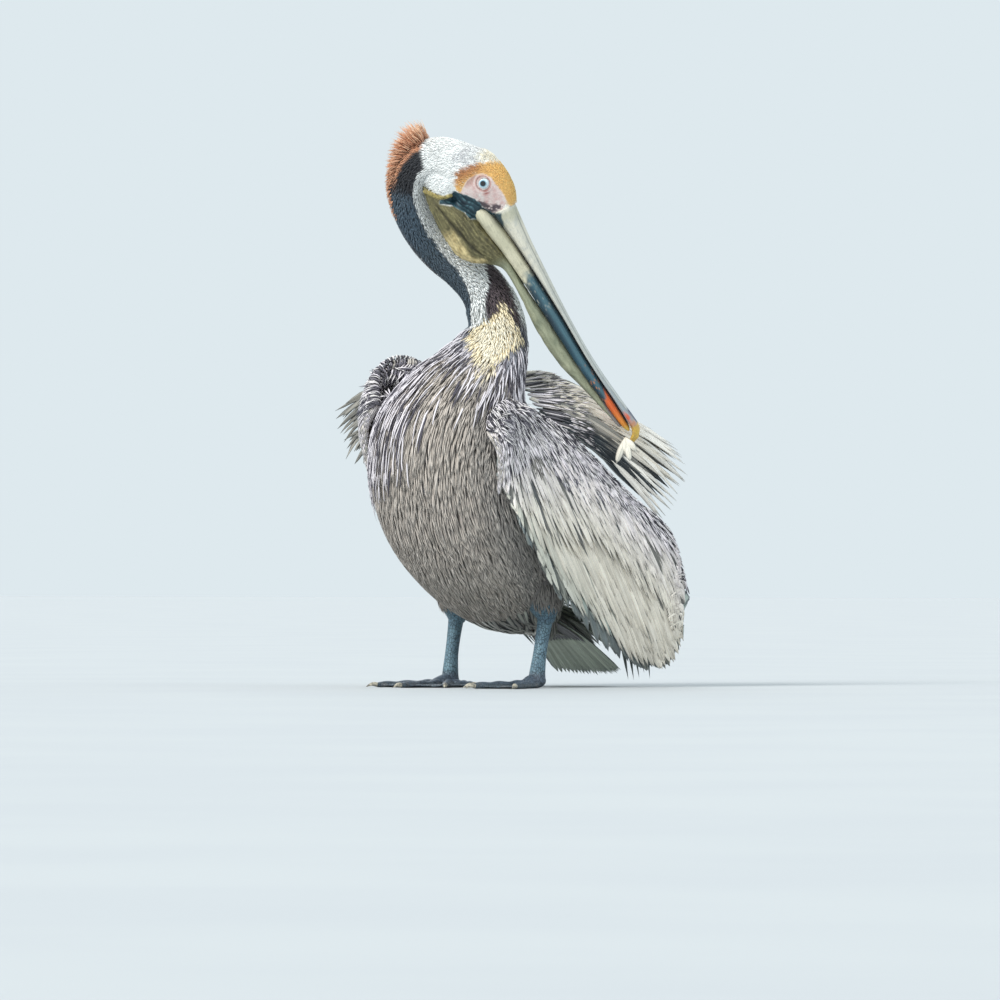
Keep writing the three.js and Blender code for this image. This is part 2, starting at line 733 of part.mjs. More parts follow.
// Toes: [angle from straight ahead, outwards positive, length, claw]
const TOES_LEFT = [
  { turn: 24, length: 99, claw: 15 },
  { turn: -8, length: 106, claw: 15 },
  { turn: -40, length: 82, claw: 13 },
  { turn: -86, length: 44, claw: 12 },
];
const TOES_RIGHT = [
  { turn: 30, length: 99, claw: 15 },
  { turn: -4, length: 106, claw: 15 },
  { turn: -36, length: 82, claw: 13 },
  { turn: -82, length: 44, claw: 12 },
];
const TOE_START = 4;
function footSolid(heel, side, toes) {
  const dir = (toe) => {
    const q = THREE.MathUtils.degToRad(toe.turn) * side;
    return new THREE.Vector2(Math.sin(q), -Math.cos(q));
  };
  const at = (toe, r) => dir(toe).multiplyScalar(r).add(new THREE.Vector2(...heel));
  // The web: bays between neighbouring toe tips, all four toes joined.
  const outline = new THREE.Shape();
  const back = new THREE.Vector2(heel[0], heel[1] + 6);
  outline.moveTo(back.x, back.y);
  toes.forEach((toe, i) => {
    const p = at(toe, toe.length * 0.97);
    if (i === 0) outline.lineTo(p.x, p.y);
    else {
      const q = at(toes[i - 1], toes[i - 1].length * 0.97);
      const bay = q.clone().lerp(p, 0.5).lerp(new THREE.Vector2(...heel), 0.14);
      outline.quadraticCurveTo(bay.x, bay.y, p.x, p.y);
    }
  });
  outline.lineTo(back.x, back.y);
  const web = solid(
    new THREE.ExtrudeGeometry(outline, { depth: WEB_THICKNESS, bevelEnabled: false, curveSegments: 3 }),
  );
  const parts = [web];
  for (const toe of toes) {
    const d = dir(toe);
    const x = new THREE.Vector3(-d.y, d.x, 0),
      z = new THREE.Vector3(0, 0, 1);
    const line = (t) => {
      const r = TOE_START + (toe.length - TOE_START) * t;
      const p = at(toe, r);
      const knuckle = 1 + 0.1 * Math.cos(t * Math.PI * 6);
      const rad = TOE_RADIUS * (1.15 - 0.4 * t) * knuckle;
      return { c: v3([p.x, p.y, rad * 0.62 + 3.6 * (1 - t) ** 3]), x, y: z, side: rad, up: rad, down: rad };
    };
    parts.push(sweep(line, 0, 1, 3, 6));
    const claw = (t) => {
      const p = at(toe, toe.length - 5 + (toe.claw + 4) * t);
      const rad = 3.5 * (1 - t) ** 0.8 + 0.8;
      return {
        c: v3([p.x, p.y, 3.4 + 1.6 * Math.sin(Math.PI * t) - 1.9 * t]),
        x,
        y: z,
        side: rad * 0.8,
        up: rad,
        down: rad,
      };
    };
    parts.push(sweep(claw, 0, 1, 2, 5));
  }
  // The heel rises to meet the shank.
  const ankle = table([
    [0, heel[0], heel[1] + 1, 0.5, 9, 10.5],
    [0.5, heel[0], heel[1] + 0.5, ANKLE_Z * 0.5, 9.6, 11.5],
    [1, heel[0], heel[1], ANKLE_Z - GAP, 8.6, 10.5],
  ]);
  parts.push(
    sweep(
      (t) => {
        const [x, y, z, a, b] = ankle(t);
        return {
          c: v3([x, y, z]),
          x: new THREE.Vector3(1, 0, 0),
          y: new THREE.Vector3(0, 1, 0),
          side: a,
          up: b,
          down: b,
        };
      },
      0,
      1,
      3,
      12,
    ),
  );
  const floor = block(-400, 400, -400, 400, -60, 0);
  return trim(union(...parts), floor);
}

function leg(heel, side, toes, lean) {
  const shank = sweep(shankAt(heel, side, lean), 0, 0.86, 6, 10);
  const shankTool = sweep(shankAt(heel, side, lean), -0.02, 1, 6, 10, { grow: SKIRT });
  const thigh = trim(sweep(thighAt(heel, side, lean), 0, 1, 5, 12, { domeA: 0.15 }), trunkTool, shankTool);
  return { shank: trim(shank, trunkTool), thigh, foot: footSolid(heel, side, toes) };
}
const legLeft = leg(HEEL_LEFT, 1, TOES_LEFT, LEAN_LEFT);
const legRight = leg(HEEL_RIGHT, -1, TOES_RIGHT, LEAN_RIGHT);
for (const l of [legLeft, legRight]) l.thigh = trim(l.thigh, wingLeftTool, wingRightTool);

// ---------------------------------------------------------------- materials
const finish = (color, roughness, metalness = 0) =>
  new THREE.MeshStandardMaterial({ color, roughness, metalness });
const PARTS = [
  ["trunk", trunk, finish(0x7d7670, 0.9)],
  ["neck_lower", neckLower, finish(0x55565e, 0.9)],
  ["neck_mid", neckMid, finish(0xd8d8d2, 0.9)],
  ["neck_upper", neckUpper, finish(0xb9b6b0, 0.9)],
  ["head", head, finish(0xded9cc, 0.85)],
  ["nape_crest", crest, finish(0xb0653a, 0.9)],
  ["bill_upper", billUpper, finish(0xcfcdbd, 0.45)],
  ["bill_lower", billLower, finish(0x3f5f72, 0.45)],
  ["throat_pouch", pouch, finish(0x9a8c4c, 0.6)],
  ["eye_right", eyeRight, finish(0xd4e4e6, 0.1)],
  ["eye_left", eyeLeft, finish(0xd4e4e6, 0.1)],
  ["wing_left_arm", left.arm, finish(0x8e8b90, 0.9)],
  ["wing_left_coverts", left.coverts, finish(0xb5aea4, 0.9)],
  ["wing_left_secondaries", left.secondaries, finish(0xa5a797, 0.9)],
  ["wing_left_primaries", primariesLeft, finish(0x4b4d45, 0.85)],
  ["scapulars_left", scapularsLeft, finish(0xcbc6bc, 0.9)],
  ["wing_left_tertials", tertialsLeft, finish(0x3c4a50, 0.9)],
  ["wing_right_arm", right.arm, finish(0x8e8b90, 0.9)],
  ["wing_right_coverts", right.coverts, finish(0xb5aea4, 0.9)],
  ["wing_right_secondaries", right.secondaries, finish(0xa5a797, 0.9)],
  ["wing_right_primaries", primariesRight, finish(0x4b4d45, 0.85)],
  ["wing_right_ruffled", ruffled, finish(0x9b9a94, 0.9)],
  ["scapulars_right", scapularsRight, finish(0xb8b3aa, 0.9)],
  ["tail", tail, finish(0x9a9c8e, 0.9)],
  ["thigh_left", legLeft.thigh, finish(0x6a645d, 0.9)],
  ["thigh_right", legRight.thigh, finish(0x6a645d, 0.9)],
  ["shank_left", legLeft.shank, finish(0x5f7384, 0.6)],
  ["shank_right", legRight.shank, finish(0x5f7384, 0.6)],
  ["foot_left", legLeft.foot, finish(0x3f4a55, 0.6)],
  ["foot_right", legRight.foot, finish(0x3f4a55, 0.6)],
];

const pelican = new THREE.Group();
for (const [name, body, material] of PARTS) {
  const mesh = body.getMesh();
  const positions = new Float32Array(mesh.numVert * 3);
  for (let i = 0; i < mesh.numVert; i++)
    positions.set(mesh.vertProperties.subarray(i * mesh.numProp, i * mesh.numProp + 3), i * 3);
  const g = new THREE.BufferGeometry();
  g.setAttribute("position", new THREE.BufferAttribute(positions, 3));
  g.setIndex(new THREE.BufferAttribute(new Uint32Array(mesh.triVerts), 1));
  g.computeVertexNormals();
  const m = new THREE.Mesh(g, material);
  m.name = name;
  pelican.add(m);
}
pelican.position.set(...SHIFT);

export default pelican;
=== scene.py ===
"""Brown pelican: the looks. One skin, a coat of solid feathers laid over it, bill, eyes and claws.

Everything is built in the bird's own frame in millimetres (+Z up, it faces -Y, its left is +X) and
moved into the part's frame at the end.
"""

import bpy
import bmesh
import math
import numpy as np
from mathutils import Vector, Matrix
from mathutils.bvhtree import BVHTree
from mathutils.kdtree import KDTree


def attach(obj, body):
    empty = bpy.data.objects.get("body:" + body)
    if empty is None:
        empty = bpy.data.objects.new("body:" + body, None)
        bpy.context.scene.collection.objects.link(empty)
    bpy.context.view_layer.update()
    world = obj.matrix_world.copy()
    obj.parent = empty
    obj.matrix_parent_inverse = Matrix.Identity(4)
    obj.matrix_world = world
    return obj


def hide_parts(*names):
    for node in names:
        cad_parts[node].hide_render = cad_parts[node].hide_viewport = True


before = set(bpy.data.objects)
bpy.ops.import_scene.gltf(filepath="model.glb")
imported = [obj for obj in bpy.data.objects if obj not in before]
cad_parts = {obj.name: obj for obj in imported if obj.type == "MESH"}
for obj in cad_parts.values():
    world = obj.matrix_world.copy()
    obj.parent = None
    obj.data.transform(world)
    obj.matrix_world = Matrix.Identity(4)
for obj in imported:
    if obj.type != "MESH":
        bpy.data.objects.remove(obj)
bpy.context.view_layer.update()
NODES = set(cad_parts)
rng = np.random.default_rng(11)


# ---------------------------------------------------------------- the frame
# Millimetres in the bird's own frame: +Z up, it faces -Y, its left is +X.
SHIFT = np.array([14.0, -78.0, 0.0])
TURN = math.radians(40)
E_ACROSS = np.array([math.cos(TURN), math.sin(TURN), 0.0])
E_OUT = np.array([math.sin(TURN), -math.cos(TURN), 0.0])
E_UP = np.array([0.0, 0.0, 1.0])


def A(*v):
    return np.array(v, float)


def unit(v):
    v = np.asarray(v, float)
    return v / np.maximum(1e-9, np.linalg.norm(v, axis=-1, keepdims=True))


def turned(u, z, d):
    return E_ACROSS * u + E_UP * z + E_OUT * d


def table(rows):
    """Smooth interpolation of rows of [key, ...values], for arrays of keys."""
    rows = np.asarray(rows, float)
    keys, vals = rows[:, 0], rows[:, 1:]
    n = len(keys)

    def f(k):
        k = np.asarray(k, float)
        i = np.clip(np.searchsorted(keys, k, side="left") - 1, 0, n - 2)
        h = keys[i + 1] - keys[i]
        x = np.clip((k - keys[i]) / h, 0, 1)[..., None]
        y0, y1 = vals[i], vals[i + 1]
        ia, ib = np.maximum(i - 1, 0), np.minimum(i + 2, n - 1)
        ya, yb = vals[ia], vals[ib]
        ha = (keys[i + 1] - keys[ia])[..., None]
        hb = (keys[ib] - keys[i])[..., None]
        m0 = (y1 - ya) / ha * h[..., None]
        m1 = (yb - y0) / hb * h[..., None]
        x2, x3 = x * x, x * x * x
        return (
            (2 * x3 - 3 * x2 + 1) * y0
            + (x3 - 2 * x2 + x) * m0
            + (-2 * x3 + 3 * x2) * y1
            + (x3 - x2) * m1
        )

    return f


# centre, half width, half depth on the back and on the belly, back direction
ROWS = [
    (A(0, 156, 84), 24, 15, 14, A(0, 0.75, 0.66)),
    (A(0, 130, 103), 50, 32, 45, A(0, 0.74, 0.68)),
    (A(0, 92, 138), 82, 58, 80, A(0, 0.74, 0.68)),
    (A(1, 48, 186), 106, 82, 102, A(0, 0.8, 0.6)),
    (A(3, 6, 243), 115, 92, 110, A(0, 0.92, 0.38)),
    (A(5, -10, 300), 108, 86, 102, A(0.03, 1, 0.05)),
    (A(12, -2, 345), 86, 68, 80, A(0.06, 0.97, -0.2)),
    (A(19, 14, 380), 62, 50, 57, A(0.1, 0.93, -0.3)),
    (A(24, 29, 410), 46, 40, 43, A(0.0, 0.98, -0.2)),
    (turned(44, 440, -10), 35, 33, 34, turned(-0.05, 0, -1)),
    (turned(38, 466, -9), 32, 29, 30, turned(-0.2, 0, -1)),
    (turned(26, 489, -10), 30, 27, 28, turned(-0.5, -0.2, -0.9)),
    (turned(3, 512, -10), 28, 26, 26, turned(-0.6, -0.5, -0.6)),
    (turned(-20, 529, -6), 26, 25, 25, turned(-0.7, -0.5, -0.35)),
    (turned(-39, 549, 1), 25, 25, 24, turned(-0.85, -0.5, -0.25)),
    (turned(-56, 580, 14), 25, 26, 23, turned(-0.95, -0.3, -0.2)),
    (turned(-61, 611, 27), 26, 27, 23, turned(-1, 0.12, -0.1)),
    (turned(-50, 634, 38), 28, 28, 23, turned(-0.75, 0.66, 0)),
    (turned(-26, 642, 46), 29, 28, 26, turned(-0.05, 1, 0.05)),
    (turned(2, 636, 51), 29.5, 27, 34, turned(0.4, 0.91, 0.1)),
    (turned(25, 622, 53), 28, 29, 40, turned(0.68, 0.72, 0.15)),
    (turned(44, 602, 49), 22.5, 23.5, 33, turned(0.84, 0.53, 0.16)),
    (turned(54, 583, 45), 17, 15.5, 20, turned(0.882, 0.441, 0.171)),
]
LAST = len(ROWS) - 1


def centripetal(points, u):
    """three.js's CatmullRomCurve3 of type centripetal, at u from 0 to 1."""
    P = np.array(points)
    n = len(P)
    p = (n - 1) * u
    i = min(int(p), n - 2)
    w = p - i
    p1, p2 = P[i], P[i + 1]
    p0 = P[i - 1] if i > 0 else 2 * P[0] - P[1]
    p3 = P[i + 2] if i + 2 < n else 2 * P[n - 1] - P[n - 2]
    d0 = np.sum((p1 - p0) ** 2) ** 0.25
    d1 = np.sum((p2 - p1) ** 2) ** 0.25
    d2 = np.sum((p3 - p2) ** 2) ** 0.25
    t1 = ((p1 - p0) / d0 - (p2 - p0) / (d0 + d1) + (p2 - p1) / d1) * d1
    t2 = ((p2 - p1) / d1 - (p3 - p1) / (d1 + d2) + (p3 - p2) / d2) * d1
    return (
        p1
        + t1 * w
        + (-3 * p1 + 3 * p2 - 2 * t1 - t2) * w * w
        + (2 * p1 - 2 * p2 + t1 + t2) * w ** 3
    )


STEP = 0.02
_K = np.arange(0, LAST + STEP / 2, STEP)
_C = np.array([centripetal([r[0] for r in ROWS], k / LAST) for k in _K])
_sizes = table([[i, r[1], r[2], r[3], *r[4]] for i, r in enumerate(ROWS)])(_K)
_T = unit(np.gradient(_C, axis=0))
_Y = _sizes[:, 3:6]
_Y = unit(_Y - _T * np.sum(_Y * _T, axis=1, keepdims=True))
_X = unit(np.cross(_Y, _T))
_SPINE = np.hstack([_C, _X, _Y, _sizes[:, :3], _T])


def spine(k):
    """Centre, left, back, half sizes and tangent at k, by linear look-up."""
    f = np.clip(np.asarray(k, float), 0, LAST) / STEP
    i = np.minimum(f.astype(int), len(_K) - 2)
    w = (f - i)[..., None]
    s = _SPINE[i] * (1 - w) + _SPINE[i + 1] * w
    return s[..., 0:3], s[..., 3:6], s[..., 6:9], s[..., 9], s[..., 10], s[..., 11], s[..., 12:15]


def body(k, q, lift=0.0):
    """A point on the body line's surface; q is 0 at the left, pi/2 at the back."""
    c, x, y, a, bu, bd, _ = spine(k)
    cq, sq = np.cos(q), np.sin(q)
    b = np.where(sq > 0, bu, bd)
    return c + x * (cq * (a + lift))[..., None] + y * (sq * (b + lift))[..., None]


# head frame: f along the bill, h above it, r to the bird's right
F = unit(turned(0.468, -0.865, -0.185))
_side = unit(E_OUT - F * (E_OUT @ F))
_up = np.cross(_side, F)
ROLL = math.radians(10)
U = unit(_up * math.cos(ROLL) + _side * math.sin(ROLL))
R = unit(np.cross(F, U))
H0 = turned(54, 583, 45)


def in_head(f, h, r):
    f, h, r = np.broadcast_arrays(np.asarray(f, float), h, r)
    return H0 + f[..., None] * F + h[..., None] * U + r[..., None] * R


def head_coords(p):
    d = p - H0
    return d @ F, d @ U, d @ R



_RATE = np.linalg.norm(np.gradient(_C, axis=0), axis=1) / STEP


def rate(k):
    """Millimetres along the body line per unit of k."""
    return np.interp(k, _K, _RATE)


def body_normal(k, q):
    dq = body(k, q + 0.01) - body(k, q - 0.01)
    dk = body(np.minimum(k + 0.04, LAST), q) - body(np.maximum(k - 0.04, 0), q)
    return unit(np.cross(dq, dk))


def wrap(d):
    return (d + 180) % 360 - 180


def smooth(a, b, x):
    x = np.clip((np.asarray(x, float) - a) / (b - a), 0, 1)
    return x * x * (3 - 2 * x)


def bump(x, c, w):
    return np.exp(-(((x - c) / w) ** 2))


def srgb(r, g, b):
    c = np.array([r, g, b], float) / 255
    return np.where(c <= 0.04045, c / 12.92, ((c + 0.055) / 1.055) ** 2.4)


def mix(a, b, t):
    """From a to b, both with a last axis of components, by a field t without one."""
    t = np.asarray(t, float)
    if t.ndim and not (t.shape[-1] == 1 and t.ndim == max(np.ndim(a), np.ndim(b))):
        t = t[..., None]
    return a * (1 - t) + b * t


# Smooth noise in space, the same on every run: sums of sines at odd angles.
_W = rng.normal(size=(24, 3))
_W /= np.linalg.norm(_W, axis=1, keepdims=True)
_PH = rng.uniform(0, 6.28, 24)
_FR = rng.uniform(0.6, 1.7, 24)


def noise(p, scale):
    """About -1 to 1, with features about `scale` millimetres wide."""
    x = (np.asarray(p) @ _W.T) * (_FR * 3.0 / scale) + _PH
    return np.sin(x + 1.3 * np.sin(x[..., ::-1] * 0.7)).sum(-1) / 7.0


# ---------------------------------------------------------------- tables
BILL = table([
    [-20, 14.5, -19, -38, 19],
    [-2, 13.6, -16, -36, 19],
    [20, 11.8, -12, -33, 18.5],
    [50, 9.6, -8, -27.5, 17.5],
    [100, 7.8, -3.6, -22, 16.2],
    [150, 6.6, 0, -18, 15.8],
    [200, 7.2, 1.8, -13.6, 16],
    [235, 9.4, 4.4, -10, 16.3],
    [270, 13.8, 7.8, -4.6, 15.8],
    [300, 18.2, 9.2, 0, 13.5],
    [316, 18.6, 9.2, 1.6, 9.5],
    [326, 12, 2, 4, 4.5],
])
POUCH = table([
    [-68, -73, 4, 3, 6],
    [-45, -68, 13, 4, 13],
    [-20, -62, 20.5, 5, 17],
    [5, -58, 23.5, 6, 17.5],
    [25, -54, 24, 6, 16.5],
    [40, -47, 19, 5, 15],
    [52, -37, 11, 2, 13],
    [64, -31, 6, 0, 12],
    [100, -29, 5.5, 0, 12],
    [150, -27, 9.6, 0, 11.5],
    [200, -22.5, 9.4, 0, 11],
    [235, -15.5, 6.2, 0, 10],
    [270, -8, 4, 0, 8.5],
    [304, -1.5, 2.2, 0, 5],
])
CREST_HEIGHT = table([
    [14.9, 1], [15.6, 2.6], [16.3, 6], [16.8, 12], [17.2, 22], [17.5, 27], [17.75, 20], [17.98, 3],
])
WING_LEFT = dict(
    root=table([
        [0.0, 101, -66, 308], [0.14, 96, -50, 331], [0.28, 88, -16, 344], [0.42, 95, 24, 332],
        [0.58, 114, 64, 306], [0.74, 136, 150, 235], [0.89, 146, 218, 186], [1.0, 139, 248, 124]]),
    tip=table([
        [0.0, 112, -62, 256], [0.14, 121, -40, 212], [0.28, 122, 15, 134], [0.42, 116, 80, 78],
        [0.58, 110, 150, 33], [0.74, 112, 216, 20], [0.89, 122, 254, 32], [1.0, 134, 262, 82]]),
    side=1, bulge=15)
WING_RIGHT = dict(
    root=table([
        [0.0, -108, -32, 342], [0.14, -117, -18, 383], [0.28, -106, 8, 402], [0.42, -88, 46, 386],
        [0.58, -76, 90, 340], [0.74, -66, 138, 276], [0.89, -58, 180, 216], [1.0, -52, 208, 168]]),
    tip=table([
        [0.0, -124, -30, 278], [0.14, -138, -8, 262], [0.28, -140, 36, 232], [0.42, -132, 86, 184],
        [0.58, -122, 142, 138], [0.74, -112, 196, 106], [0.89, -98, 230, 96], [1.0, -84, 240, 112]]),
    side=-1, bulge=14)
SCAPULARS_LEFT = dict(
    root=table([[0, 26, 66, 386], [0.25, 48, 60, 377], [0.5, 67, 55, 364], [0.75, 81, 58, 343], [1, 92, 66, 325]]),
    tip=table([[0, 84, 170, 346], [0.25, 136, 224, 302], [0.5, 165, 237, 264], [0.75, 158, 224, 224], [1, 146, 208, 200]]),
    lift=14)
SCAPULARS_RIGHT = dict(
    root=table([[0, 12, 72, 392], [0.25, -16, 72, 394], [0.5, -42, 70, 396], [0.75, -64, 66, 398], [1, -84, 60, 398]]),
    tip=table([[0, 0, 178, 246], [0.25, -30, 202, 224], [0.5, -58, 216, 216], [0.75, -86, 214, 222], [1, -112, 196, 238]]),
    lift=12)
RUFFLED = dict(
    root=table([[0, -114, 6, 376], [0.35, -120, -2, 352], [0.7, -122, -12, 322], [1, -120, -20, 300]]),
    tip=table([[0, -196, -8, 341], [0.25, -195, -10, 320], [0.5, -184, -12, 298], [0.75, -181, -14, 272], [1, -150, -20, 257]]),
    lift=9)
TERTIALS = dict(
    outer=table([[0, 104, 66, 300], [0.4, 126, 146, 232], [0.75, 134, 208, 180], [1, 128, 238, 126]]),
    inner=table([[0, 56, 80, 300], [0.4, 46, 124, 240], [0.75, 54, 164, 180], [1, 78, 206, 122]]))


def wing(w, s, t):
    """The middle surface of a hanging wing: s from wrist to rear, t from the arm down to the free edge."""
    s, t = np.broadcast_arrays(np.asarray(s, float), np.asarray(t, float))
    c = mix(w["root"](s), w["tip"](s), t)
    belly = w["bulge"] * np.sin(np.pi * np.clip(t, 0, 1) ** 0.75)
    return c + belly[..., None] * A(w["side"] * 0.9, -0.25, 0.15)


def wing_thick(s, t):
    u = np.clip(1 - t, 0, 1)
    return 2.2 + np.where(s < 0.2, 20 - 40 * s, 12) * u ** 0.8 + 3 * u


def fan(w, s, t):
    s, t = np.broadcast_arrays(np.asarray(s, float), np.asarray(t, float))
    p = mix(w["root"](s), w["tip"](s), t)
    p[..., 2] += w["lift"] * np.sin(np.pi * np.clip(t, 0, 1))
    return p


def tertials(s, t):
    s, t = np.broadcast_arrays(np.asarray(s, float), np.asarray(t, float))
    p = mix(TERTIALS["outer"](t), TERTIALS["inner"](t), s)
    p[..., 1] += 12 * np.sin(np.pi * np.clip(s, 0, 1))
    return p


def tail(s, t):
    s, t = np.broadcast_arrays(np.asarray(s, float), np.asarray(t, float))
    w = 2 * s - 1
    reach = t * (1 - 0.14 * w * w)
    p = mix(A(0, 142, 90), A(5, 264, 3.5), reach)
    p[..., 0] += w * (24 + 31 * t)
    p[..., 2] += 6 * (1 - w * w) + 5 * np.sin(np.pi * np.clip(t, 0, 1)) - 2
    return p


# ---------------------------------------------------------------- meshes
def mesh(name, V, tris=None, quads=None, smooth_faces=True):
    tris = np.zeros((0, 3), int) if tris is None else np.asarray(tris, int)
    quads = np.zeros((0, 4), int) if quads is None else np.asarray(quads, int)
    me = bpy.data.meshes.new(name)
    me.vertices.add(len(V))
    me.vertices.foreach_set("co", ((np.asarray(V) + SHIFT) / 1000).astype(np.float32).ravel())
    loops = np.concatenate([tris.ravel(), quads.ravel()]).astype(np.int32)
    starts = np.concatenate([np.arange(len(tris)) * 3, len(tris) * 3 + np.arange(len(quads)) * 4]).astype(np.int32)
    me.loops.add(len(loops))
    me.loops.foreach_set("vertex_index", loops)
    me.polygons.add(len(starts))
    me.polygons.foreach_set("loop_start", starts)
    me.polygons.foreach_set("use_smooth", np.full(len(starts), smooth_faces))
    me.update(calc_edges=True)
    return me


def thing(me):
    o = bpy.data.objects.new(me.name, me)
    bpy.context.scene.collection.objects.link(o)
    return o


def paint(me, name, C):
    """A colour for each vertex."""
    a = me.attributes.new(name, "FLOAT_COLOR", "POINT")
    C = np.asarray(C, np.float32)
    if C.shape[1] == 3:
        C = np.hstack([C, np.ones((len(C), 1), np.float32)])
    a.data.foreach_set("color", C.ravel())


def vector(me, name, C):
    a = me.attributes.new(name, "FLOAT_VECTOR", "POINT")
    a.data.foreach_set("vector", np.asarray(C, np.float32).ravel())


def shell(P, a, b):
    """Rings closed at both ends by a point: vertices, triangles and quads, facing out."""
    r, n, _ = P.shape
    V = np.vstack([P.reshape(-1, 3), [a], [b]])
    i = np.arange(r * n).reshape(r, n)
    j = np.roll(i, -1, 1)
    quads = np.stack([i[:-1], j[:-1], j[1:], i[1:]], -1).reshape(-1, 4)
    t1 = np.stack([np.full(n, r * n), j[0], i[0]], -1)
    t2 = np.stack([np.full(n, r * n + 1), i[-1], j[-1]], -1)
    tris = np.vstack([t1, t2])
    T = np.vstack([tris, quads[:, :3], quads[:, [0, 2, 3]]])
    vol = np.einsum("ij,ij->i", V[T[:, 0]], np.cross(V[T[:, 1]], V[T[:, 2]])).sum()
    if vol < 0:
        tris, quads = tris[:, ::-1], quads[:, ::-1]
    return V, tris, quads


def sweep(at, ts, around=48, end_a=True, end_b=True, grow=0.0):
    """at(t) gives centre, x, y, side, up, down and the superellipse power; round ends."""
    q = np.arange(around) * 2 * np.pi / around
    rings = []
    for t in ts:
        c, x, y, a, bu, bd, n = at(t)
        cc, ss = np.cos(q), np.sin(q)
        e = 2.0 / n
        X = np.sign(cc) * np.abs(cc) ** e * max(0.3, a + grow)
        Y = np.sign(ss) * np.abs(ss) ** e * np.where(ss > 0, max(0.3, bu + grow), max(0.3, bd + grow))
        rings.append(c + X[:, None] * x + Y[:, None] * y)
    P = np.array(rings)
    return shell(P, P[0].mean(0), P[-1].mean(0))


def joined(parts):
    V, T, Q, n = [], [], [], 0
    for v, t, q in parts:
        V.append(v)
        T.append(t + n)
        Q.append(q + n)
        n += len(v)
    return np.vstack(V), np.vstack(T), np.vstack(Q)


def evaluated(o):
    dg = bpy.context.evaluated_depsgraph_get()
    e = o.evaluated_get(dg)
    me = bpy.data.meshes.new_from_object(e)
    return me


def remeshed(name, parts, voxel, rounds):
    o = thing(mesh(name, *joined(parts)))
    m = o.modifiers.new("r", "REMESH")
    m.mode = "VOXEL"
    m.voxel_size = voxel / 1000
    s = o.modifiers.new("s", "SMOOTH")
    s.factor, s.iterations = 0.5, rounds
    me = evaluated(o)
    bpy.data.objects.remove(o)
    out = thing(me)
    out.name = name
    return out


def arrays(me):
    V = np.empty(len(me.vertices) * 3, np.float32)
    me.vertices.foreach_get("co", V)
    me.calc_loop_triangles()
    T = np.empty(len(me.loop_triangles) * 3, np.int32)
    me.loop_triangles.foreach_get("vertices", T)
    N = np.empty(len(me.vertices) * 3, np.float32)
    me.vertices.foreach_get("normal", N)
    return V.reshape(-1, 3).astype(float) * 1000 - SHIFT, T.reshape(-1, 3), N.reshape(-1, 3).astype(float)


# ---------------------------------------------------------------- markings
def fence(poly, x, y):
    """Signed distance to a polygon's edge, positive inside."""
    P = np.asarray(poly, float)
    d2 = np.full(np.shape(x), 1e9)
    inside = np.zeros(np.shape(x), bool)
    for (x0, y0), (x1, y1) in zip(P, np.roll(P, -1, 0)):
        ex, ey = x1 - x0, y1 - y0
        t = np.clip(((x - x0) * ex + (y - y0) * ey) / (ex * ex + ey * ey), 0, 1)
        d2 = np.minimum(d2, (x - x0 - t * ex) ** 2 + (y - y0 - t * ey) ** 2)
        if y0 != y1:
            inside ^= ((y0 > y) != (y1 > y)) & (x < (x1 - x0) * (y - y0) / (y1 - y0) + x0)
    return np.where(inside, 1, -1) * np.sqrt(d2)


ARC_IN = [(-45, -36), (-55, -21), (-57, -10), (-53, -1), (-44, 6), (-30, 8), (-17, 9), (-8, 8)]
ORANGE = [(-49, -39), (-60, -34), (-68, -26), (-69, -15), (-67, -4), (-62, 8), (-55, 18), (-46, 34), (0, 34),
          (-1, 10)] + ARC_IN[::-1]
EYE_SKIN = ARC_IN + [(0, -6), (-4, -15), (-16, -21), (-29, -23), (-38, -29), (-46, -39)]
LORES = [(-47, -64), (-49, -43), (-38, -30), (-29, -23.5), (-16, -21), (-5, -15), (1, -5), (14, -9), (27, -17), (22, -25),
         (-6, -36), (-10, -42), (-20, -44), (-33, -52), (-44, -66)]
GAPE = [(-65, -75.5), (-58, -69), (-50, -62), (-47.5, -56), (-47, -50)]
EYE_AT = (-43.5, -5.5, 19.2)
EYE_R = 9.6

WHITE = srgb(250, 252, 250)
SLATE = srgb(72, 76, 86)
HIND = srgb(90, 106, 118)
BLACK = srgb(38, 40, 47)
CHESTNUT = srgb(222, 160, 122)
ORANGE_C = srgb(236, 188, 114)
YELLOW = srgb(255, 240, 204)
PATCH = srgb(92, 80, 84)
SILVER = srgb(222, 214, 220)


def yellow_patch(p):
    """Positive inside the pale yellow patch at the foot of the foreneck."""
    u, z, d = p @ E_ACROSS, p @ E_UP, p @ E_OUT
    u = u - 4.0
    z = z - 9.0
    zz = np.array([372, 374, 386, 398, 410, 423, 435, 449, 467, 470])
    lo = np.array([30, 29, 24, 19, 14, 8, 15, 33, 44, 46])
    hi = np.array([30, 34, 40, 48, 59, 74, 66, 57, 47, 46])
    a, b = np.interp(z, zz, lo), np.interp(z, zz, hi)
    inside = np.minimum(np.minimum(u - a, b - u), np.minimum(z - 373, 468 - z))
    return np.where(d > 0, inside, -9)


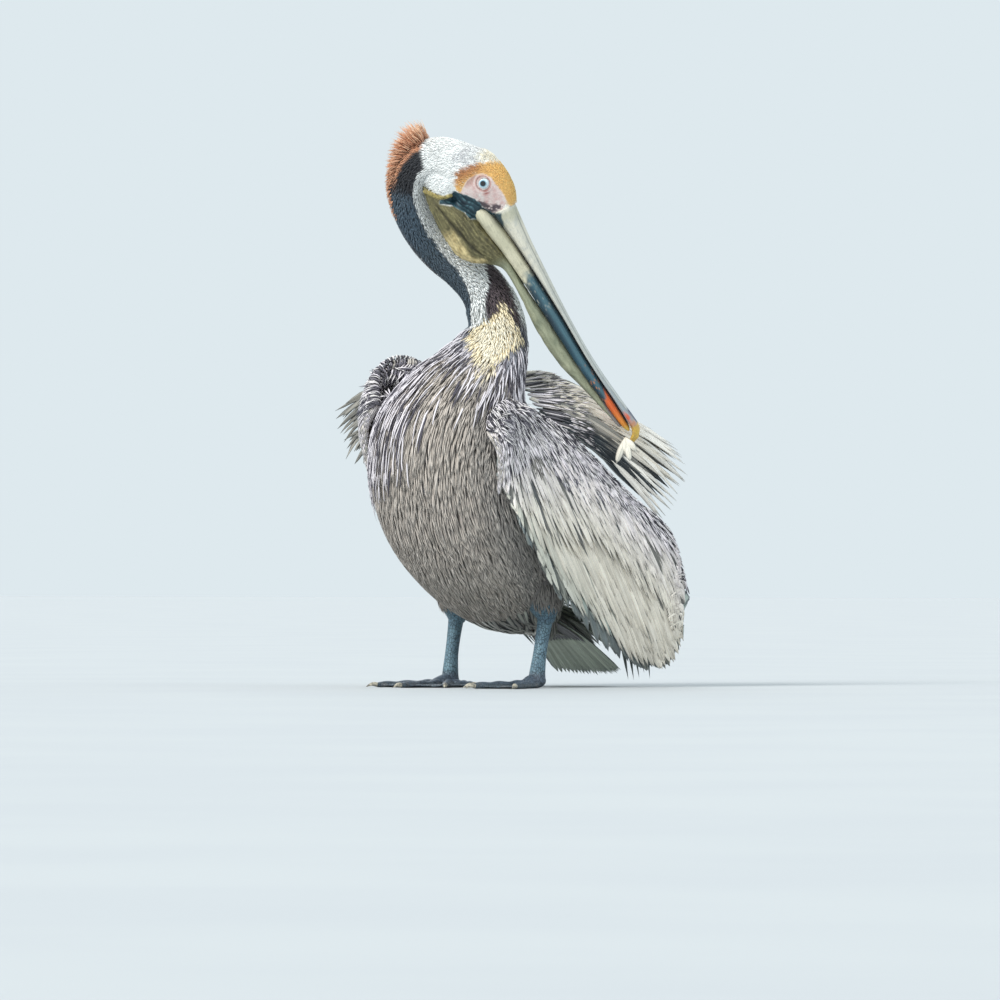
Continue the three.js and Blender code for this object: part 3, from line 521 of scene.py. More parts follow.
def head_marks(f, h, r, fur, under, p):
    """Colours of the head's markings laid over the given ones."""
    n = noise(p, 5)
    side = np.abs(r)
    o = smooth(-3.4, 2.0, fence(ORANGE, f, h) + 1.2 * n)
    deep = smooth(-46, -66, f) * smooth(12, -6, h)
    gold = mix(ORANGE_C, srgb(186, 128, 82), deep)
    gold = mix(gold, srgb(238, 206, 132), smooth(9, 2, side) * smooth(6, 16, h) * 0.8)
    gold = mix(gold, srgb(232, 190, 112), smooth(10, 18, h) * 0.45)
    fur = mix(fur, gold, o)
    under = mix(under, gold * 0.85, o)
    grey = smooth(-95, -84, f) * smooth(-62, -72, f) * smooth(-30, -18, h) * (0.35 + 0.5 * smooth(-0.1, 0.6, noise(p, 3.5)))
    fur = mix(fur, srgb(170, 170, 178), grey * 0.8)
    tint = np.exp(-((fence(ORANGE, f, h) + 6) / 5.0) ** 2) * smooth(-2, 10, h)
    fur = mix(fur, srgb(240, 222, 170), tint * 0.6)
    return fur, under


def plumage(k, q, p, jitter=0.0):
    """The coat's pale and dark colours at body place (k, q in radians); the skin takes the same."""
    k = np.asarray(k, float)
    n1, n2, n3 = noise(p, 7), noise(p, 22), noise(p, 60)
    g = np.degrees(q)
    f, h, r = head_coords(p)
    shape = k.shape + (3,)

    # trunk
    belly = np.broadcast_to(srgb(194, 183, 172), shape)
    belly_d = np.broadcast_to(srgb(128, 119, 114), shape)
    low = smooth(4.6, 2.0, k) * smooth(-150, -60, g)
    belly = mix(belly, srgb(158, 149, 138), low)
    belly_d = mix(belly_d, srgb(92, 87, 80), low)
    flank = smooth(-52, -26, g) * smooth(0.5, 2, k) * smooth(8.2, 6.5, k)
    belly = mix(belly, srgb(150, 146, 142), flank * 0.8)
    belly_d = mix(belly_d, srgb(80, 78, 80), flank * 0.8)
    lav = smooth(4.6, 6.6, k) * np.maximum(smooth(-86, -120, g) + smooth(150, 180, g) * 1.0, smooth(6.6, 8.0, k))
    lav = np.clip(lav + smooth(-122, -150, g) * smooth(3.2, 4.6, k) * 0.6, 0, 1)
    fur = mix(belly, srgb(228, 219, 228), lav)
    under = mix(belly_d, srgb(58, 56, 66), lav)
    back = smooth(8, 36, g) * smooth(176, 150, g)
    fur = mix(fur, srgb(214, 210, 206), back)
    under = mix(under, srgb(64, 64, 70), back)
    rump = back * smooth(2.2, 1.0, k)
    fur = mix(fur, srgb(168, 164, 158), rump)
    vent = smooth(1.1, 0.3, k) * (1 - back)
    fur = mix(fur, srgb(196, 194, 190), vent * 0.7)

    # the dark ring at the foot of the neck
    ring = smooth(6.9, 8.1, k + 0.25 * n1) * smooth(9.75, 9.2, k)
    fur = mix(fur, mix(srgb(196, 194, 202), srgb(120, 122, 132), smooth(7.6, 8.9, k)), ring)
    under = mix(under, srgb(58, 60, 70), ring)

    # neck
    neck = smooth(9.0, 9.5, k + 0.1 * n1)
    fur = mix(fur, WHITE, neck)
    under = mix(under, WHITE * 0.95, neck)
    centre = np.interp(k, [10, 12, 13, 15, 18], [108, 108, 96, 93, 91])
    half = np.interp(k, [8.5, 9.4, 12, 13, 16, 18], [70, 86, 90, 103, 106, 107])
    d = half - np.abs(wrap(g - centre)) + 3.0 * n1
    hind = smooth(-2.5, 2.5, d) * smooth(8.9, 9.5, k) * smooth(17.72, 17.56, k + 0.02 * n1)
    tone = mix(HIND, srgb(84, 104, 120), bump(k, 15.0, 1.1))
    tone = mix(tone, srgb(116, 108, 106), smooth(84, 104, g) * smooth(140, 118, g) * smooth(15.6, 13, k) * 0.7)
    tone = mix(tone, srgb(66, 76, 88), smooth(7, 1, d) * 0.7)
    black = smooth(15.7, 16.3, k + 0.15 * n1)
    tone = mix(tone, BLACK, black)
    rust = smooth(58, 44, np.abs(wrap(g - 92)) + 5 * n1) * smooth(15.9, 16.6, k)
    tone = mix(tone, CHESTNUT, rust)
    fur = mix(fur, tone, hind)
    under = mix(under, tone * 0.7, hind)
    fh = np.interp(k, [9.2, 10.5, 11.2, 11.6], [40, 37, 29, 18])
    df = fh - np.abs(wrap(g + np.interp(k, [9.2, 10.6, 11.5], [80, 80, 68]))) + 3.0 * n1
    fore = smooth(-3, 3, df) * smooth(8.9, 9.4, k) * smooth(11.75, 11.5, k + 0.03 * n1)
    brown = mix(PATCH, srgb(116, 98, 96), smooth(-62, -40, g + 6 * n2) * 0.75)
    brown = mix(brown, srgb(56, 52, 62), smooth(9, 2, df) * 0.6)
    fur = mix(fur, brown, fore)
    under = mix(under, brown * 0.7, fore)
    y = smooth(-0.8, 1.4, yellow_patch(p) + jitter) * smooth(5.8, 6.3, k)
    fur = mix(fur, mix(YELLOW, srgb(255, 248, 228), smooth(3, 14, yellow_patch(p))), y)
    under = mix(under, srgb(255, 236, 194), y)

    hd = smooth(17.9, 18.4, k)
    a, b = head_marks(f, h, r, fur, under, p)
    return mix(fur, a, hd), mix(under, b, hd)


def in_pouch(f, h, r, grow=1.0):
    mid, hh, off, hw = np.moveaxis(POUCH(np.clip(f, -68, 304)), -1, 0)
    v = np.sqrt(((h - mid) / (hh + grow)) ** 2 + ((r - off) / (hw + grow)) ** 2)
    v = v + smooth(-69, -76, f) + smooth(305, 310, f)
    return v


def bare(f, h, r):
    """1 on the bare skin of the face, 0 where short feathers grow."""
    e = np.maximum(fence(EYE_SKIN, f, h), fence(LORES, f, h))
    g = -gape_distance(f, h) + 3.4
    return smooth(-1.2, 0.6, np.maximum(e, g)) * smooth(3, 8, np.abs(r) + smooth(-6, 4, f) * 9)


def gape_distance(f, h):
    d = np.full(np.shape(f), 1e9)
    for (x0, y0), (x1, y1) in zip(GAPE[:-1], GAPE[1:]):
        ex, ey = x1 - x0, y1 - y0
        t = np.clip(((f - x0) * ex + (h - y0) * ey) / (ex * ex + ey * ey), 0, 1)
        d = np.minimum(d, np.hypot(f - x0 - t * ex, h - y0 - t * ey))
    return d


# ---------------------------------------------------------------- skin
def skin_lift(k):
    return np.interp(k, [0, 0.6, 7.5, 9.5, 16.5, 17.9, 19.5, 20.4, 22], [-4, -5, -5, -3, -3, -1.6, -1.1, -0.5, 0])


def body_at(low, high):
    def at(k):
        c, x, y, a, bu, bd, tg = spine(k)
        l = float(skin_lift(k))
        if low is not None:
            l -= 4.0 * float(smooth(low + 0.5, low, k))
        return c, x, y, a + l, bu + l, bd + l, 2.0
    return at


def plate(G, N, th):
    nu, nv, _ = G.shape
    top, bot = G + N * th[..., None] / 2, G - N * th[..., None] / 2
    V = np.vstack([top.reshape(-1, 3), bot.reshape(-1, 3)])
    i = np.arange(nu * nv).reshape(nu, nv)
    b = i + nu * nv
    Q = [np.stack([i[:-1, :-1], i[1:, :-1], i[1:, 1:], i[:-1, 1:]], -1).reshape(-1, 4),
         np.stack([b[:-1, :-1], b[:-1, 1:], b[1:, 1:], b[1:, :-1]], -1).reshape(-1, 4)]
    ring = np.concatenate([i[:-1, 0], i[-1, :-1], i[:0:-1, -1], i[0, :0:-1]])
    nxt = np.roll(ring, -1)
    Q.append(np.stack([nxt, ring, ring + nu * nv, nxt + nu * nv], -1))
    Q = np.vstack(Q)
    T = np.vstack([Q[:, :3], Q[:, [0, 2, 3]]])
    if np.einsum("ij,ij->i", V[T[:, 0]], np.cross(V[T[:, 1]], V[T[:, 2]])).sum() < 0:
        Q = Q[:, ::-1]
    return V, np.zeros((0, 3), int), Q


def grid_normals(G):
    du = np.gradient(G, axis=0)
    dv = np.gradient(G, axis=1)
    return unit(np.cross(du, dv))


def tube(points, radii, around=20, flat=1.0, n=2.0):
    """A tube through points in order with round ends; flat squashes it in Z."""
    P = np.array(points, float)
    R_ = np.array(radii, float)
    seg = np.concatenate([[0], np.cumsum(np.linalg.norm(np.diff(P, axis=0), axis=1))])
    f = table(np.column_stack([seg, P, R_]))
    m = max(6, int(seg[-1] / 2.5))
    inner = np.linspace(0, seg[-1], m)
    vals = f(inner)
    C, rr = vals[:, :3], vals[:, 3]
    T_ = unit(np.gradient(C, axis=0))
    rows = []
    ref = A(0, 0, 1) if abs(T_[:, 2]).mean() < 0.8 else A(0, 1, 0)
    for e in (60, 30):
        s, c = math.sin(math.radians(e)), math.cos(math.radians(e))
        rows.append((C[0] - T_[0] * rr[0] * s, T_[0], rr[0] * c))
    for j in range(m):
        rows.append((C[j], T_[j], rr[j]))
    for e in (30, 60):
        s, c = math.sin(math.radians(e)), math.cos(math.radians(e))
        rows.append((C[-1] + T_[-1] * rr[-1] * s, T_[-1], rr[-1] * c))
    def at(i):
        c, t, r_ = rows[int(i)]
        x = unit(np.cross(ref, t))
        y = np.cross(t, x)
        return c, x, y, r_, r_ * flat, r_ * flat, n
    V, T, Q = sweep(at, range(len(rows)), around)
    return V, T, Q


def ellipsoid(c, ax, size, n=24):
    th = np.linspace(0, np.pi, n)[1:-1]
    ph = np.arange(2 * n) * np.pi / n
    P = (np.cos(th)[:, None, None] * ax[0] * size[0]
         + (np.sin(th)[:, None] * np.cos(ph))[..., None] * ax[1] * size[1]
         + (np.sin(th)[:, None] * np.sin(ph))[..., None] * ax[2] * size[2]) + c
    return shell(P, c + ax[0] * size[0], c - ax[0] * size[0])


HEAD_AXES = (F, U, R)
LEGS = {
    "left": dict(heel=(69, 62), s=1, lean=20, toes=[(24, 99, 15), (-8, 106, 15), (-40, 82, 13), (-86, 44, 12)]),
    "right": dict(heel=(-70, 62), s=-1, lean=11, toes=[(30, 99, 15), (-4, 106, 15), (-36, 82, 13), (-82, 44, 12)]),
}


def leg_parts(leg):
    hx, hy = leg["heel"]
    s, L = leg["s"], leg["lean"]
    rows = [[0, hx, hy, 12, 9.2, 11.4], [0.1, hx, hy + 0.05 * L, 20, 8.6, 10.6], [0.3, hx, hy + 0.25 * L, 40, 7.4, 9.0],
            [0.55, hx - 0.6 * s, hy + 0.55 * L, 62, 7.6, 9.0], [0.85, hx - 1.5 * s, hy + 0.9 * L, 87, 8.8, 10.6],
            [1, hx - 2 * s, hy + L, 104, 10.2, 12.2]]
    f = table(rows)

    def at(t):
        v = f(t)
        tg = unit(f(min(1, t + 0.02))[:3] - f(max(0, t - 0.02))[:3])
        x = unit(np.cross(A(0, 1, 0), tg))
        y = np.cross(tg, x)
        return v[:3], x, y, v[3], v[4], v[4], 2.2
    parts = [sweep(at, np.linspace(0, 1, 40), 28)]
    # ankle, knuckles and toes
    parts.append(tube([(hx, hy + 3, 9), (hx, hy - 12, 8.2), (hx + 2 * s, hy - 24, 6.6)], [9.4, 8.6, 6], 20, 0.92))
    web = []
    for turn, length, claw in leg["toes"]:
        a = math.radians(turn) * s
        d = A(math.sin(a), -math.cos(a), 0)
        base = A(hx, hy, 0)
        pts, rad = [], []
        for u, rr in ((0.0, 6.6), (0.16, 5.2), (0.3, 5.9), (0.42, 4.7), (0.58, 5.3), (0.7, 4.3), (0.84, 4.7), (0.95, 3.7)):
            pts.append(base + d * length * u + A(0, 0, rr * 0.86))
            rad.append(rr)
        parts.append(tube(pts, rad, 16, 0.86))
        web.append((d, length))
    for (d0, l0), (d1, l1) in zip(web[:-1], web[1:]):
        nu, nv = 26, 18
        G = np.zeros((nu, nv, 3))
        for i, u in enumerate(np.linspace(0.04, 1, nu)):
            for j, v in enumerate(np.linspace(0, 1, nv)):
                reach = 0.93 - 0.13 * math.sin(math.pi * v)
                dd = unit(d0 * (1 - v) + d1 * v)
                ll = l0 * (1 - v) + l1 * v
                sag = 0.5 * math.sin(math.pi * v)
                G[i, j] = A(hx, hy, 0) + dd * ll * reach * u + A(0, 0, 3.0 - sag + 0.25 * math.sin(9 * v + 5 * u))
        parts.append(plate(G, np.broadcast_to(A(0, 0, 1), G.shape), np.full((nu, nv), 2.1)))
    return parts


def thigh_part(leg):
    hx, hy = leg["heel"]
    s, L = leg["s"], leg["lean"]
    pts = [(hx - 2 * s, hy + L, 88), (hx - 3 * s, hy + L - 2, 100), (hx - 7 * s, hy + L - 7, 122), (hx - 14 * s, hy + L - 18, 155)]
    return tube(pts, [13, 20, 28, 34], 30)


def arm_part(w, t1=0.34):
    s, t = np.meshgrid(np.linspace(0.02, 0.97, 60), np.linspace(0.03, t1, 16), indexing="ij")
    G = wing(w, s, t)
    return plate(G, grid_normals(G), np.minimum(11.0, wing_thick(s, t) * 0.62))


def make_skin():
    ks = np.concatenate([np.linspace(0.0, 9, 100), np.linspace(9.1, 16.2, 90)])
    trunk_ = sweep(body_at(None, None), ks, 72)
    rump = ellipsoid(A(0, 152, 87), (unit(A(0, 0.8, -0.6)), A(1, 0, 0), unit(A(0, 0.6, 0.8))), (13, 20, 11))
    body_parts = [trunk_, rump, arm_part(WING_LEFT), arm_part(WING_RIGHT),
                  tube([(60, 10, 320), (92, 0, 330)], [26, 16]), tube([(70, 80, 260), (104, 70, 290)], [24, 14]),
                  tube([(-50, 22, 350), (-82, 20, 374), (-106, 6, 386)], [24, 18, 9]),
                  tube([(-66, 0, 330), (-100, -14, 350)], [24, 12]),
                  thigh_part(LEGS["left"]), thigh_part(LEGS["right"])]
    whole = remeshed("skin_body", body_parts, 4.2, 3)
    head_parts = [sweep(body_at(15.6, None), np.linspace(15.6, 21.97, 120), 64),
                  ellipsoid(in_head(-66, -50, -3), HEAD_AXES, (29, 26, 21)),
                  ellipsoid(in_head(-30, -33, 0), HEAD_AXES, (30.5, 16.5, 18.5))]

    def pouch_at(f):
        h, hh, r, rw = POUCH(f)
        return in_head(f, h, r), R, U, rw, hh, hh, 2.1
    fs = np.concatenate([np.linspace(-68, 60, 70), np.linspace(62, 304, 80)])
    head_parts.append(sweep(pouch_at, fs, 48))
    head_parts.append(ellipsoid(in_head(-66, -73, 3), HEAD_AXES, (6, 4.2, 6)))
    head = remeshed("skin_head", head_parts, 1.3, 4)
    groups = [head]
    for name, leg in LEGS.items():
        groups.append(remeshed("skin_" + name, leg_parts(leg), 1.35, 2))
    sockets = thing(mesh("sockets", *joined([
        ellipsoid(in_head(EYE_AT[0], EYE_AT[1], EYE_AT[2] * s), HEAD_AXES, (EYE_R + 0.15,) * 3, 20) for s in (1, -1)])))
    lids = []
    for s in (1, -1):
        c = in_head(EYE_AT[0], EYE_AT[1], EYE_AT[2] * s)
        for rad, up, thick in ((9.4, 5.8, 1.0), (11.2, 5.2, 0.9)):
            a = np.arange(48) * 2 * np.pi / 48
            b = np.arange(10) * 2 * np.pi / 10
            ring = np.cos(a)[:, None] * F * 1.06 + np.sin(a)[:, None] * U * 0.96
            P = (c + R * s * up)[None, None] + ring[:, None] * (rad + thick * np.cos(b))[None, :, None] + (R * s)[None, None] * (thick * np.sin(b))[None, :, None]
            V = P.reshape(-1, 3)
            i = np.arange(480).reshape(48, 10)
            j, k2 = np.roll(i, -1, 0), np.roll(i, -1, 1)
            Q = np.stack([i, j, np.roll(j, -1, 1), k2], -1).reshape(-1, 4)
            T = np.vstack([Q[:, :3], Q[:, [0, 2, 3]]])
            if np.einsum("ij,ij->i", V[T[:, 0]], np.cross(V[T[:, 1]], V[T[:, 2]])).sum() < 0:
                Q = Q[:, ::-1]
            lids.append((V, np.zeros((0, 3), int), Q))
    for j, l in enumerate(lids):
        groups.append(thing(mesh("lid%d" % j, *l)))
    for g in groups:
        m = whole.modifiers.new("u", "BOOLEAN")
        m.operation, m.solver, m.object = "UNION", "MANIFOLD", g
    m = whole.modifiers.new("d", "BOOLEAN")
    m.operation, m.solver, m.object = "DIFFERENCE", "MANIFOLD", sockets
    me = evaluated(whole)
    for o in groups + [sockets, whole]:
        bpy.data.objects.remove(o)
    skin = thing(me)
    skin.name = me.name = "skin"
    return skin


def keep_largest(o):
    bm = bmesh.new()
    bm.from_mesh(o.data)
    bm.verts.ensure_lookup_table()
    label = np.full(len(bm.verts), -1)
    sizes = []
    for v in bm.verts:
        if label[v.index] >= 0:
            continue
        n = len(sizes)
        stack = [v]
        label[v.index] = n
        count = 0
        while stack:
            x = stack.pop()
            count += 1
            for e in x.link_edges:
                y = e.other_vert(x)
                if label[y.index] < 0:
                    label[y.index] = n
                    stack.append(y)
        sizes.append(count)
    if len(sizes) > 1:
        big = int(np.argmax(sizes))
        bmesh.ops.delete(bm, geom=[v for v in bm.verts if label[v.index] != big], context="VERTS")
        bm.to_mesh(o.data)
    bm.free()
    o.data.materials.clear()
    o.data.polygons.foreach_set("material_index", np.zeros(len(o.data.polygons), np.int32))
    o.data.polygons.foreach_set("use_smooth", np.ones(len(o.data.polygons), bool))
    o.data.update()


def body_places(V):
    """Nearest (k, q) on the body line's surface for each point, and how far off it is."""
    ks = np.arange(0, LAST + 0.01, 0.1)
    qs = np.radians(np.arange(-180, 180, 5.0))
    kk, qq = [a.ravel() for a in np.meshgrid(ks, qs, indexing="ij")]
    P = body(kk, qq, -2.0)
    tree = KDTree(len(P))
    for i, p in enumerate(P):
        tree.insert(p, i)
    tree.balance()
    ids = np.array([tree.find(v)[1] for v in V])
    off = np.linalg.norm(V - P[ids], axis=1)
    k, q = kk[ids], qq[ids]
    for _ in range(2):
        c, x, y, a, bu, bd, tg = spine(k)
        v = V - c
        k = np.clip(k + np.clip(np.sum(v * tg, 1) / rate(k), -0.1, 0.1) * 0.7, 0, LAST)
    c, x, y, a, bu, bd, tg = spine(k)
    v = V - c
    sy = np.sum(v * y, 1)
    q = np.arctan2(sy / np.where(sy > 0, bu, bd), np.sum(v * x, 1) / a)
    return k, q, off


def dress_skin(o):
    """Colours, folds and lids; the skin takes the coat's markings, darker, and shows bare on face, pouch and legs."""
    V, T, N = arrays(o.data)
    k, q, off = body_places(V)
    f, h, r = head_coords(V)
    fur, under = plumage(k, q, V)
    C = fur * 0.35 + under * 0.65
    wings = (off > 8) & (V[:, 2] > 190) & (in_pouch(f, h, r, 2.6) > 1.3) & (k < 12)
    C[wings] = srgb(96, 92, 98)
    n1, n2, n3 = noise(V, 1.6), noise(V, 4.0), noise(V, 12)

    # bare face
    side = np.abs(r)
    near = (f > -90) & (np.abs(r) < 60) & (h > -90) & (h < 40)
    e = fence(EYE_SKIN, f, h)
    face = near * smooth(-0.8, 0.8, e)
    pink = mix(srgb(238, 224, 218), srgb(224, 190, 184), 0.5 + 0.5 * n2)
    pink = mix(pink, srgb(150, 104, 84), smooth(-44, -56, f) * smooth(8, -6, h) * 0.75)
    band = fence([(-27, -24), (-13, -22), (-6, -15), (-5, -6), (-7, 0), (-12, -4), (-14, -13), (-24, -18)], f, h)
    blot = smooth(-0.7, -0.1, n2 + 0.3 * n1) * smooth(-3.0, 1.0, band)
    pink = mix(pink, srgb(52, 44, 58), blot * 0.9)
    C = mix(C, pink, face)
    l = fence(LORES, f, h)
    lore = near * smooth(-0.8, 0.8, l + 0.8 * n2)
    teal = mix(srgb(38, 66, 76), srgb(24, 44, 54), 0.5 + 0.5 * n3)
    streak = smooth(0.2, 0.9, np.sin((h - 0.55 * f) * 1.1 + 2 * n3) * 0.6 + 0.5 * n2)
    teal = mix(teal, srgb(108, 150, 160), streak * 0.45)
    C = mix(C, teal, lore)
    rho = np.hypot((f - EYE_AT[0]) / 1.06, (h - EYE_AT[1]) / 0.96)
    eye = near * (side > 12)
    C = mix(C, srgb(214, 160, 150), eye * bump(rho, 9.2, 1.1) * 0.8)
    C = mix(C, srgb(168, 72, 60), eye * smooth(-36, -33, f) * smooth(-27, -31, f) * bump(h, -8, 3.2) * 0.9)
    C = mix(C, srgb(66, 40, 40), eye * bump(rho, 8.5, 0.5) * 0.8)
    C = mix(C, srgb(238, 224, 218), eye * bump(rho, 11.0, 0.9) * 0.6)

    # pouch
    v = in_pouch(f, h, r, 2.6)
    mid, hh, po, hw = np.moveaxis(POUCH(np.clip(f, -68, 304)), -1, 0)
    pouch = smooth(1.12, 1.0, v) * (1 - face) * (h < -6) * (f > -76)
    kf, kq = k, q
    pouch = pouch * smooth(-0.5, 1.0, -l)
    across = (h - mid) / np.maximum(1, hh)
    olive = mix(srgb(112, 107, 74), srgb(82, 78, 54), 0.5 + 0.5 * noise(V, 9))
    line = np.sin(across * 31 + 3.0 * noise(V, 30) + 0.9 * n2)
    # painted highlight: paler olive along the wrinkle ridges, which the same sine raises in the folds below
    olive = mix(olive, srgb(154, 144, 102), smooth(0.1, 1.0, line) * (0.35 + 0.35 * n1))
    lobe = smooth(-0.18, -0.42, across + 0.12 * n3) * smooth(50, 40, f) * smooth(-16, 4, f + 3 * n2)
    olive = mix(olive, mix(srgb(232, 212, 158), srgb(176, 156, 108), 0.5 + 0.5 * n2), lobe * 0.9)
    # a fold across the pouch, pressed in with the folds below and painted dark: painted shade in the fold
    crease = bump(across, -0.06 + 0.1 * np.sin(f / 22), 0.09) * smooth(-56, -40, f) * smooth(44, 26, f)
    olive = mix(olive, srgb(50, 46, 34), crease * 0.9)
    strip = smooth(44, 66, f)
    pale = mix(srgb(172, 174, 146), srgb(132, 138, 116), 0.5 + 0.5 * noise(V, 14))
    pale = mix(pale, srgb(104, 106, 86), smooth(0.2, 1, np.sin(across * 11 + 2 * n3)) * 0.35)
    olive = mix(olive, pale, strip)
    C = mix(C, olive, pouch)
    gd = gape_distance(f, h)
    gape = near * smooth(3.2, 2.2, gd) * (side > 8)
    C = mix(C, mix(srgb(196, 180, 118), srgb(142, 128, 76), 0.5 + 0.5 * n2), gape)

    # legs
    leg = smooth(106, 98, V[:, 2] + 2 * n3) * (off > 0)
    shank = (np.minimum(np.hypot(V[:, 0] - 69, (V[:, 1] - 70) * 0.6), np.hypot(V[:, 0] + 70, (V[:, 1] - 68) * 0.6)) < 18) | (V[:, 2] < 22)
    leg = leg * shank
    blue = mix(srgb(106, 134, 146), srgb(80, 104, 118), 0.5 + 0.5 * n3)
    footc = mix(srgb(86, 98, 106), srgb(58, 68, 78), 0.5 + 0.5 * noise(V, 16))
    footc = mix(footc, srgb(112, 110, 108), smooth(0.3, 0.9, noise(V, 9)) * 0.35)
    blue = mix(blue, footc, smooth(24, 12, V[:, 2]))
    blue = mix(blue, srgb(80, 92, 108), smooth(5.2, 7.5, V[:, 2]) * smooth(22, 12, V[:, 2]) * 0.6)
    C = mix(C, blue, leg)

    # folds: gape ridges, pouch wrinkles and crease, wrinkles round the eyes, grooves in the lores
    D = np.zeros(len(V))
    D += near * (side > 8) * 2.6 * np.exp(-(gd / 2.3) ** 2)
    D += pouch * (1 - strip) * (0.55 * line * (1 - lobe) - 2.0 * crease + 0.35 * n2)
    D += pouch * strip * 0.25 * np.sin(across * 11 + 2 * n3)
    D += face * 0.35 * np.sin(rho * 2.6 + 0.8 * n2) * smooth(11, 13, rho) * (side > 12)
    D -= lore * 0.5 * np.sin((h - 0.55 * f) * 1.1 + 2 * n3)
    W = V + N * D[:, None]
    me = o.data
    me.vertices.foreach_set("co", ((W + SHIFT) / 1000).astype(np.float32).ravel())
    me.update()
    paint(me, "hue", C)
    kind = np.stack([pouch * (1 - strip) + gape, leg, np.maximum(face, lore)], 1)
    vector(me, "kind", kind)
    vector(me, "place", np.stack([f, h, r], 1))
    return k, q


# ---------------------------------------------------------------- feathers
SECTIONS = {
    "tri": [(-1, 0), (0, 1), (1, 0)],
    "leaf": [(-1, -0.15), (0, 1), (1, -0.15), (0, -0.35)],
    "vane": [(-1, -0.9), (-0.55, 0.25), (-0.06, 0.5), (0, 1), (0.06, 0.5), (0.55, 0.25), (1, -0.9), (0, -0.5)],
}


class Coat:
    """Many closed feathers gathered into one mesh."""

    def __init__(self, name):
        self.name = name
        self.V, self.T, self.Q, self.F, self.C1, self.C2, self.UV = [], [], [], [], [], [], []
        self.n = 0

    def add(self, P, S, N, W, H, c1, c2, uv, section="tri", tip=None, patch=(0.003, 0.003), rand=None, mark=0.0):
        """P, S, N: (n, m, 3) line, side and normal; W, H: (n, m) half width and ridge height; tip (n, 3)."""
        n, m, _ = P.shape
        if n == 0:
            return
        sec = np.array(SECTIONS[section], float)
        c = len(sec)
        W = np.broadcast_to(W, (n, m))
        H = np.broadcast_to(H, (n, m))
        ring = (P[:, :, None] + S[:, :, None] * (W[..., None] * sec[:, 0])[..., None]
                + N[:, :, None] * (H[..., None] * sec[:, 1])[..., None])
        if tip is None:
            tip = P[:, -1] + (P[:, -1] - P[:, -2]) * 0.6
        V = np.concatenate([ring.reshape(n, m * c, 3), tip[:, None]], 1)
        nv = m * c + 1
        base = self.n + np.arange(n)[:, None] * nv
        i = np.arange(m * c).reshape(m, c)
        j = np.roll(i, -1, 1)
        q = np.stack([i[:-1], i[1:], j[1:], j[:-1]], -1).reshape(-1, 4)
        t = [[m * c - c + a, m * c, m * c - c + (a + 1) % c] for a in range(c)]
        t += [[0, a, a + 1] for a in range(1, c - 1)]
        t = np.array(t)
        self.Q.append((base[:, :, None] + q[None]).reshape(-1, 4))
        self.T.append((base[:, :, None] + t[None]).reshape(-1, 3))
        along = np.concatenate([np.repeat(np.linspace(0, 1 - 0.5 / m, m), c), [1.0]])
        across = np.concatenate([np.tile(sec[:, 0], m), [0.0]])
        if rand is None:
            rand = rng.uniform(size=n)
        fv = np.empty((n, nv, 3))
        fv[..., 0] = along
        fv[..., 1] = across
        fv[..., 2] = rand[:, None]
        self.F.append(fv.reshape(-1, 3))

        def spread(col):
            col = np.asarray(col, float)
            if col.ndim == 1:
                col = np.broadcast_to(col, (n, 3))
            if col.ndim == 2:
                return np.broadcast_to(col[:, None], (n, nv, 3)).reshape(-1, 3)
            return np.concatenate([np.repeat(col[:, :m], c, 1), col[:, m:m + 1]], 1).reshape(-1, 3)
        self.C1.append(spread(c1))
        self.C2.append(spread(c2))
        u = np.empty((n, nv, 2))
        u[..., 0] = uv[:, :1] + across * patch[0] / 2
        u[..., 1] = uv[:, 1:] + (along - 0.5) * patch[1]
        self.UV.append(u.reshape(-1, 2))
        self.V.append(V.reshape(-1, 3))
        self.n += n * nv

    def triangles(self):
        return sum(len(t) for t in self.T) + 2 * sum(len(q) for q in self.Q)

    def make(self, material, replaces):
        T, Q = np.vstack(self.T), np.vstack(self.Q)
        V = np.vstack(self.V)
        V[:, 2] = np.maximum(V[:, 2], 0.15)
        me = mesh(self.name, V, T, Q)
        paint(me, "c1", np.vstack(self.C1))
        paint(me, "c2", np.vstack(self.C2))
        vector(me, "fv", np.vstack(self.F))
        uv = me.uv_layers.new(name="OFBake")
        loops = np.empty(len(me.loops), np.int32)
        me.loops.foreach_get("vertex_index", loops)
        uv.data.foreach_set("uv", np.clip(np.vstack(self.UV)[loops], 0.002, 0.998).astype(np.float32).ravel())
        me.materials.append(material)
        o = thing(me)
        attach(o, "root")
        if replaces:
            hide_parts(*replaces)
        print("coat %-22s %6d feathers-verts %7d triangles" % (self.name, len(V), self.triangles()))
        return o


def turn_about(D, N, ang):
    """Directions D turned about normals N by angles."""
    c, s = np.cos(ang)[..., None], np.sin(ang)[..., None]
    return D * c + np.cross(N, D) * s


